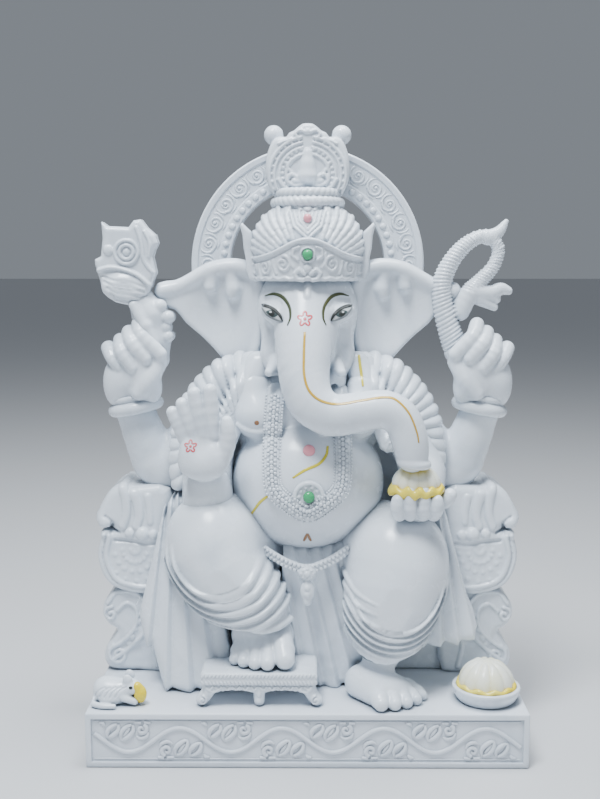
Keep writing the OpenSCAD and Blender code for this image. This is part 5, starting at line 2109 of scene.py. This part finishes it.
@dataclass
class Halo:
    """Flat ring behind the head with a plain rim, a scroll band and a row of beads."""

    middle: float = 420
    outer: float = 119
    inner: float = 79
    front: float = 40
    back: float = 62
    beads: float = 86
    bead_pitch: float = 9.6
    scroll_pitch: float = 21
    clear: float = 30
    arc: tuple[float, float] = (-24, 204)

    def ring(self) -> bpy.types.Object:
        """The turned ring.

        Returns:
            The object.
        """
        profile = [(self.inner, self.front + 2), (self.inner + 1.5, self.front + 0.8),
                   (self.inner + 11, self.front + 0.8), (self.inner + 12.5, self.front + 2.2),
                   (self.outer - 7.5, self.front + 2.2), (self.outer - 6, self.front + 0.6),
                   (self.outer - 1.5, self.front), (self.outer, self.front + 1.5),
                   (self.outer, self.back - 1.5), (self.outer - 1.5, self.back),
                   (self.inner + 1.5, self.back), (self.inner, self.back - 1.5)]
        count, size = 128, len(profile)
        verts, quads = [], []
        for i in range(count):
            a = 2 * math.pi * i / count
            verts += [(r * math.cos(a), y, self.middle + r * math.sin(a)) for r, y in profile]
            j = (i + 1) % count
            quads += [(i * size + k, i * size + (k + 1) % size, j * size + (k + 1) % size, j * size + k)
                      for k in range(size)]
        return shade_by_angle(closed_shell("halo ring", np.array(verts), quads), 30)

    def spots(self, radius: float, pitch: float, clear: float) -> list[tuple[Place, float]]:
        """Places along an arc, leaving the crest's middle free, with the angle of each."""
        start, end = self.arc
        count = int(round(math.radians(end - start) * radius / pitch))
        found = []
        for i in range(count + 1):
            a = start + (end - start) * i / count
            x, z = radius * math.cos(math.radians(a)), radius * math.sin(math.radians(a))
            if abs(x) > clear:
                found.append(((x, self.front + 1.4, self.middle + z), a))
        return found

    def build(self, shop: Workshop, loom: Loom) -> None:
        """Turn the ring and set its scrolls and beads."""
        shop.place(self.ring(), replaced=("halo_ring",))
        row = [place for place, _ in self.spots(self.beads, self.bead_pitch, self.clear + 10)]
        beads = loom.repeat("halo beads", bead((3.7, 2.6, 3.7), 8, 12), row)
        shop.place(beads, replaced=("halo_beads",))
        motif = [[(x, 0, z, 1 - 0.4 * i / 22) for i, (x, z) in enumerate(spiral((0, 1), 7.6, 1.5, -150, 1))],
                 [(-6.6, 0, -4, 1.0), (-9.5, 0, 1, 0.9), (-8.6, 0, 6.5, 0.7), (-5.5, 0, 9, 0.4)],
                 [(6, 0, -5.5, 0.5), (9, 0, -2.5, 0.9), (10, 0, 3, 0.8), (8.2, 0, 7.6, 0.4)],
                 [(-4, 0, -8.2, 0.4), (1, 0, -8.8, 0.8), (6, 0, -8.2, 0.4)]]
        motif = [curve(line, 3) if len(line) < 8 else line for line in motif]
        scroll = loom.sweep("scroll", motif, 1.7, 6, placed=False)
        band = self.spots((self.inner + self.outer) / 2 + 3, self.scroll_pitch, self.clear)
        scrolls = loom.repeat("halo scrolls", scroll, [(p[0], self.front + 2.6, p[2]) for p, _ in band],
                              [(0, 90 - a, 0) for _, a in band])
        shop.place(scrolls)
        studs = [(1.03 * p[0], self.front + 2.4, self.middle + 1.03 * (p[2] - self.middle))
                 for p, _ in self.spots(101, self.scroll_pitch, self.clear)]
        shop.place(loom.repeat("halo dots", bead((1.9, 1.9, 1.9), 6, 8), studs))


# ---------------------------------------------------------------- plinth


@dataclass
class Plinth:
    """Rectangular base with a sunk panel of scrolling vine on the front and both sides."""

    half_w: float = 210
    half_d: float = 100
    high: float = 54
    border: float = 7
    recess: float = 2.5
    wave: float = 12
    cell: float = 48.3
    start: float = 17
    rail: float = 18.6
    stem: float = 2.3

    def body(self) -> bpy.types.Object:
        """The block with its sunk panels.

        Returns:
            The object.
        """
        shape = bmesh.new()
        w, d, h = self.half_w * MM, self.half_d * MM, self.high * MM
        bmesh.ops.create_cube(shape, size=1)
        bmesh.ops.scale(shape, vec=(2 * w, 2 * d, h), verts=shape.verts)
        bmesh.ops.translate(shape, vec=(0, 0, h / 2), verts=shape.verts)
        bmesh.ops.bevel(shape, geom=shape.edges[:], offset=2 * MM, segments=3, profile=0.5, affect="EDGES")
        panels = [f for f in shape.faces
                  if f.calc_area() > 0.005 and (f.normal.y < -0.9 or abs(f.normal.x) > 0.9)]
        for panel in panels:
            bmesh.ops.inset_region(shape, faces=[panel], thickness=(self.border - 2) * MM, depth=0)
            bmesh.ops.inset_region(shape, faces=[panel], thickness=0.8 * MM, depth=-self.recess * MM)
        bmesh.ops.recalc_face_normals(shape, faces=shape.faces)
        return shade_by_angle(finished("plinth", shape))

    def leaves(self, loom: Loom) -> bpy.types.Object:
        """The leaves of one half wave of the vine, under its crest, about the middle line."""
        scroll = spiral((-12.5, -10.5), 5.2, 1.25, 250, -1)
        curl = [(x, 0, z, 1.2 - 0.5 * i / 18) for i, (x, z) in enumerate(scroll)]
        leaf = [(-4, 0, -15, 0.7), (-4.5, 0, -9, 1.1), (0, 0, -3.5, 1.3), (6.5, 0, -0.5, 0.9),
                (7, 0, -7, 1.2), (2.5, 0, -12.5, 1.1), (-3, 0, -15, 0.7)]
        rib = [(-1, 0, -12, 0.7), (2, 0, -7.5, 1.0), (5, 0, -3.5, 0.6)]
        second = [(x * 0.92 + 13.5, 0, z * 0.86 - 2.6, w) for x, _, z, w in leaf]
        lines = [curl, leaf, rib, second, [(-19, 0, -8, 0.6), (-17, 0, -3.5, 1.0), (-11, 0, -1.5, 0.9),
                                           (-7, 0, -4, 0.5)],
                 [(22.5, 0, -14, 0.6), (24.5, 0, -16.6, 1.0), (28, 0, -17, 0.6)],
                 [(-21, 0, -17.2, 0.8), (-15, 0, -17.4, 1.0)], [(-12, 0, -17.4, 0.9), (-6, 0, -17.4, 0.7)]]
        lines = [curve(line, 3) if len(line) > 2 else line for line in lines]
        return loom.sweep("leaves", lines, 2.1, 6, Finishes.BASE, placed=False)

    def build(self, shop: Workshop, loom: Loom) -> None:
        """Cut the block and lay the vine in its panels."""
        base = Finishes.BASE
        shop.place(self.body(), base, ("plinth",))
        face = -self.half_d + self.recess
        inner = self.half_w - self.border - 1.5
        low = -self.high / 2
        stem = []
        for i in range(121):
            x = -inner + 2 * inner * i / 120
            stem.append((x, face,
                         low - self.wave * math.sin(math.pi * (x + self.half_w - self.start) / self.cell)))
        rails = [[(-inner, face, low + s * self.rail), (inner, face, low + s * self.rail)] for s in (-1, 1)]
        shop.place(loom.sweep("vine stem", [stem], self.stem, 8, base), base)
        shop.place(loom.sweep("vine rails", rails, 0.8, 6, base), base)
        cells = [(-self.half_w + self.start + self.cell * (k + 0.5), k) for k in range(8)]
        vine = loom.repeat("vine leaves", self.leaves(loom), [(x, face, low) for x, _ in cells],
                           [(0, 180 * ((k + 1) % 2), 0) for _, k in cells], finish=base)
        shop.place(vine, base)
        side_len = self.half_d - self.border - 1.5
        for side in (-1, 1):
            x = side * (self.half_w - self.recess)
            row = []
            for i in range(61):
                y = -side_len + 2 * side_len * i / 60
                row.append((x, y, low - self.wave * math.sin(math.pi * (y + side_len) / self.cell) * 0.95))
            name = "left" if side < 0 else "right"
            shop.place(loom.sweep(f"side stem {name}", [row], self.stem, 8, base), base)
            spots = [(x, -side_len + self.cell * (k + 0.5), low) for k in range(3)]
            turns = [(0, 180 * ((k + 1) % 2), 90) for k in range(3)]
            shop.place(loom.repeat(f"side leaves {name}", self.leaves(loom), spots, turns, finish=base), base)


# ---------------------------------------------------------------- footstool, mouse and bowl


@dataclass
class Stool:
    """The low footstool with rope-edged slab, leafy apron and scrolled legs."""

    middle: float = -46
    wide: float = 112
    front: float = -88
    deep: float = 86
    high: float = 34
    slab: float = 12
    pitch: float = 3.6

    def base(self) -> Form:
        """Apron and legs.

        Returns:
            The form.
        """
        half = self.wide / 2
        z = self.high - self.slab
        outline = [(-half + 3, z + 1), (-half + 3, 10)]
        for i in range(0, 41):
            u = -half + 10 + (2 * half - 20) * i / 40
            outline.append((u, 12.5 + 4.5 * abs(math.sin(math.pi * (u + half - 10) / (half - 10))) ** 0.7
                            - 1.2 * abs(math.sin(u * 0.6))))
        outline += [(half - 3, 10), (half - 3, z + 1)]
        outline = [(self.middle + u, v) for u, v in outline]
        skirt = plate(outline, self.front + 3, self.front + self.deep - 3, 2.4)
        feet = None
        for x, y in ((-half + 7, 10), (half - 7, 10), (-half + 7, self.deep - 10),
                     (half - 7, self.deep - 10)):
            out = -1 if x < 0 else 1
            foot = limb(curve([(self.middle + x - out * 3, self.front + y, 20, 7),
                               (self.middle + x + out, self.front + y - 1, 12, 5.5),
                               (self.middle + x + out * 6, self.front + y - 2, 6, 5.8)], 2), 2)
            feet = foot if feet is None else feet.join(foot, 0)
        mid = limb([(self.middle, self.front + 9, 18, 6), (self.middle, self.front + 8, 5, 5)], 2)
        relief = Relief((self.middle - half - 12, -2), (self.middle + half + 12, 36), 0.4)
        for i in range(12):
            u = self.middle - half + 9 + i * (2 * half - 18) / 11
            relief.line(curve([(u - 3, 20), (u, 17), (u + 2.6, 20.5)], 3), 1.1, 1.3)
        for side in (-1, 1):
            relief.line(spiral((self.middle + side * (half - 2), 7), 4.8, 1.3, 90, side), 1.2, 1.6)
            relief.line(curve([(self.middle + side * (half - 6), 19), (self.middle + side * (half - 12), 15),
                               (self.middle + side * (half - 18), 18)], 3), 1.3, 1.5)
        relief.dot((self.middle, 6), 2.6, 1.4).dot((self.middle, 13), 2.4, 1.2)
        return skirt.join(feet, 2).join(mid, 2).raised(relief).less(under(0), 0.4)

    def build(self, shop: Workshop, loom: Loom) -> None:
        """Dress the slab, order the apron and lay the rope mouldings."""
        half, z0, z1 = self.wide / 2, self.high - self.slab, self.high
        slab = solid("stool slab", [(self.middle - half + 1.2, z0), (self.middle + half - 1.2, z0),
                                    (self.middle + half - 1.2, z1), (self.middle - half + 1.2, z1)],
                     self.front + 1.2, self.front + self.deep - 1.2, 1.6)
        shop.place(slab, replaced=("stool_top",))
        shop.order("stool base", self.base(), ("stool_apron", "stool_legs"), 1.0, 12)
        places, turns = [], []
        for z, tilt in ((z1 - 3, 35), (z0 + 2.6, -35)):
            for u in np.arange(-half + 2.5, half - 2, self.pitch):
                places.append((self.middle + u, self.front + 1.9, z))
                turns.append((0, tilt, 0))
            for side in (-1, 1):
                for v in np.arange(3, self.deep - 2, self.pitch):
                    places.append((self.middle + side * (half - 1.9), self.front + v, z))
                    turns.append((0, tilt, 90))
        shop.place(loom.repeat("stool rope", bead((1.7, 1.7, 3.0), 6, 8), places, turns))


@dataclass
class Mouse:
    """The small mouse at the front left corner, with a sweet in its paws."""

    def form(self) -> Form:
        """The mouse.

        Returns:
            The form.
        """
        body = egg((-187, -74, 12), (18, 13, 13), 12).join(egg((-196, -72, 12), (10, 12, 12)), 6)
        head = limb(curve([(-180, -74, 14, 8), (-170, -76, 17, 7.4), (-163, -78, 16, 5.4)], 3), 2)
        mouse = body.join(head, 5)
        for side in (-1, 1):
            mouse = mouse.join(egg((-172, -74 + side * 6.5, 25), (4.6, 2.6, 5.4), -20), 1.5)
            mouse = mouse.join(limb([(-176, -76 + side * 6, 8, 4), (-165, -78 + side * 5, 4.5, 3.2)]), 2)
            mouse = mouse.join(egg((-190, -74 + side * 9, 6), (9, 5, 6)), 3)
        mouse = mouse.join(limb(curve([(-200, -76, 8, 4), (-206, -84, 4, 3), (-196, -90, 3, 2.8),
                                       (-184, -91, 3, 2.4)], 3)), 2)
        relief = Relief((-212, -2), (-150, 34), 0.4)
        for k in range(5):
            relief.line(curve([(-203 + 5 * k, 10), (-199 + 5 * k, 16), (-193 + 5 * k, 19)], 3), 1.0, -0.7)
        return mouse.raised(relief).less(under(0), 0.4)

    def build(self, shop: Workshop) -> None:
        """Order the mouse and its sweet, and paint its eye."""
        form = self.form()
        shop.order("mouse", form, ("mouse",), 0.75, 7)
        sweet = egg((-160, -80, 11), (6.2, 6, 8.6)).join(egg((-163, -80, 18), (4.8, 4.6, 5)), 2)
        shop.order("mouse sweet", sweet, ("mouse_sweet",), 0.8, 12, Finishes.YELLOW)
        shop.place(Brush(form).patch("mouse eye", disc((-168.5, 18.6), 1.9, 1.5, count=10), 2),
                   Finishes.BLACK)


@dataclass
class Bowl:
    """The dish of sweets at the front right corner."""

    centre: Spot = (174, -63)
    radius: float = 33
    high: float = 15

    def build(self, shop: Workshop) -> None:
        """Order the dish, the sweets and their syrup."""
        x0, y0 = self.centre

        def away(p: Samples) -> np.ndarray:
            """Distance from the dish's middle line."""
            return np.sqrt((p[0] - x0) ** 2 + (p[1] - y0) ** 2)

        def wall(p: Samples) -> np.ndarray:
            """Distance from a dish that opens upward."""
            reach = self.radius - 8 + 8 * np.sqrt(np.clip(p[2] / 11, 0, 1))
            return np.maximum(away(p) - reach + 0.5, np.abs(p[2] - 7.5) - 7.2)

        hollow = egg((x0, y0, 24), (self.radius - 2.5, self.radius - 2.5, 17))
        dish = Form(wall).less(hollow, 1.5).join(hoop((x0, y0, 12.6), self.radius - 2.6, 2.3), 1)
        shop.order("dish", dish, ("offering_bowl",), 1.0, 4)
        heap = egg((x0, y0, 16), (26, 26, 23.5))

        def lobes(p: Samples) -> np.ndarray:
            """Grooves between the sweets."""
            a = np.arctan2(p[0] - x0, -(p[1] - y0))
            return 2.0 * np.sqrt(np.abs(np.sin(a * 5.5))) * np.clip((away(p) - 3) / 10, 0, 1) - 0.8

        sweets = heap.raised(lobes).join(egg((x0, y0, 34), (8, 8, 5)), 2).less(under(6))
        shop.order("sweets", sweets, ("bowl_sweets",), 1.0, 4, Finishes.CREAM)

        def pool(p: Samples) -> np.ndarray:
            """Distance from a wavy ring of syrup."""
            wave = 1.1 * np.sin(np.arctan2(p[0] - x0, p[1] - y0) * 11)
            return np.sqrt((away(p) - 26.4) ** 2 + (p[2] - 15.4 - wave) ** 2) - 2.9

        shop.order("syrup", Form(pool), ("bowl_sweets",), 0.9, 5, Finishes.YELLOW, ())


# ---------------------------------------------------------------- studio


@dataclass
class Studio:
    """Plain pale floor, soft lamps and the camera."""

    eye: Place = (0.0, -1.044, 0.468)
    down: float = 7.0
    turn: float = 0.41
    lens: float = 47.3
    aim: Place = (0, 0, 0.3)
    light: Place = (0.88, 0.945, 1.0)
    sky: Place = (0.68, 0.75, 0.84)
    sky_strength: float = 0.32
    ground: Place = (0.62, 0.62, 0.63)
    far: float = 60.0

    def lamp(self, name: str, place: Place, size: float, power: float) -> None:
        """A square soft lamp that looks at the idol's middle.

        Args:
            name: Name of the lamp.
            place: Where it stands, in metres.
            size: Length of its side.
            power: Its power in watts.
        """
        light = bpy.data.lights.new(name, "AREA")
        light.size, light.energy, light.color = size, power, self.light
        lamp = linked(name, light)
        lamp.location = place
        lamp.rotation_euler = (Vector(self.aim) - Vector(place)).to_track_quat("-Z", "Y").to_euler()

    def build(self) -> None:
        """Lay the floor, hang the lamps and set the camera."""
        mesh = bpy.data.meshes.new("floor")
        far = self.far
        mesh.from_pydata([(-far, -far, 0), (far, -far, 0), (far, far, 0), (-far, far, 0)], [], [(0, 1, 2, 3)])
        floor = linked("floor", mesh)
        pale = bpy.data.materials.new("floor")
        pale.use_nodes = True
        shader = pale.node_tree.nodes["Principled BSDF"]
        shader.inputs["Base Color"].default_value = (*self.ground, 1)
        shader.inputs["Roughness"].default_value = 0.7
        mesh.materials.append(pale)
        world = bpy.data.worlds.new("studio")
        bpy.context.scene.world = world
        world.use_nodes = True
        backdrop = world.node_tree.nodes["Background"]
        backdrop.inputs["Color"].default_value = (*self.sky, 1)
        backdrop.inputs["Strength"].default_value = self.sky_strength
        self.lamp("key", (-0.4, -0.8, 2.15), 0.6, 68)
        self.lamp("fill", (1.5, -1.2, 1.0), 1.2, 4)
        self.lamp("top", (0.2, 0.0, 2.0), 0.8, 36)
        camera_data = bpy.data.cameras.new("camera")
        camera_data.lens, camera_data.sensor_width = self.lens, 36
        camera_data.sensor_fit = "AUTO"
        camera = linked("camera", camera_data)
        camera.location = self.eye
        camera.rotation_euler = (math.radians(90 - self.down), 0, math.radians(self.turn))
        bpy.context.scene.camera = camera


def main() -> None:
    """Build the idol and the studio round it."""
    logging.basicConfig(level=logging.INFO, format="%(message)s")
    shop, loom = Workshop(), Loom()
    Plinth().build(shop, loom)
    Throne().build(shop)
    Halo().build(shop, loom)
    Head().build(shop)
    Ears().build(shop)
    Crown().build(shop)
    Body().build(shop, loom)
    RearArm().build(shop)
    Axe().build(shop)
    Noose().build(shop)
    FrontArms().build(shop)
    Legs().build(shop)
    Stool().build(shop, loom)
    Mouse().build(shop)
    Bowl().build(shop)
    shop.deliver()
    Studio().build()
    log.info("%d triangles in all", shop.triangles)


if __name__ == "__main__":
    main()
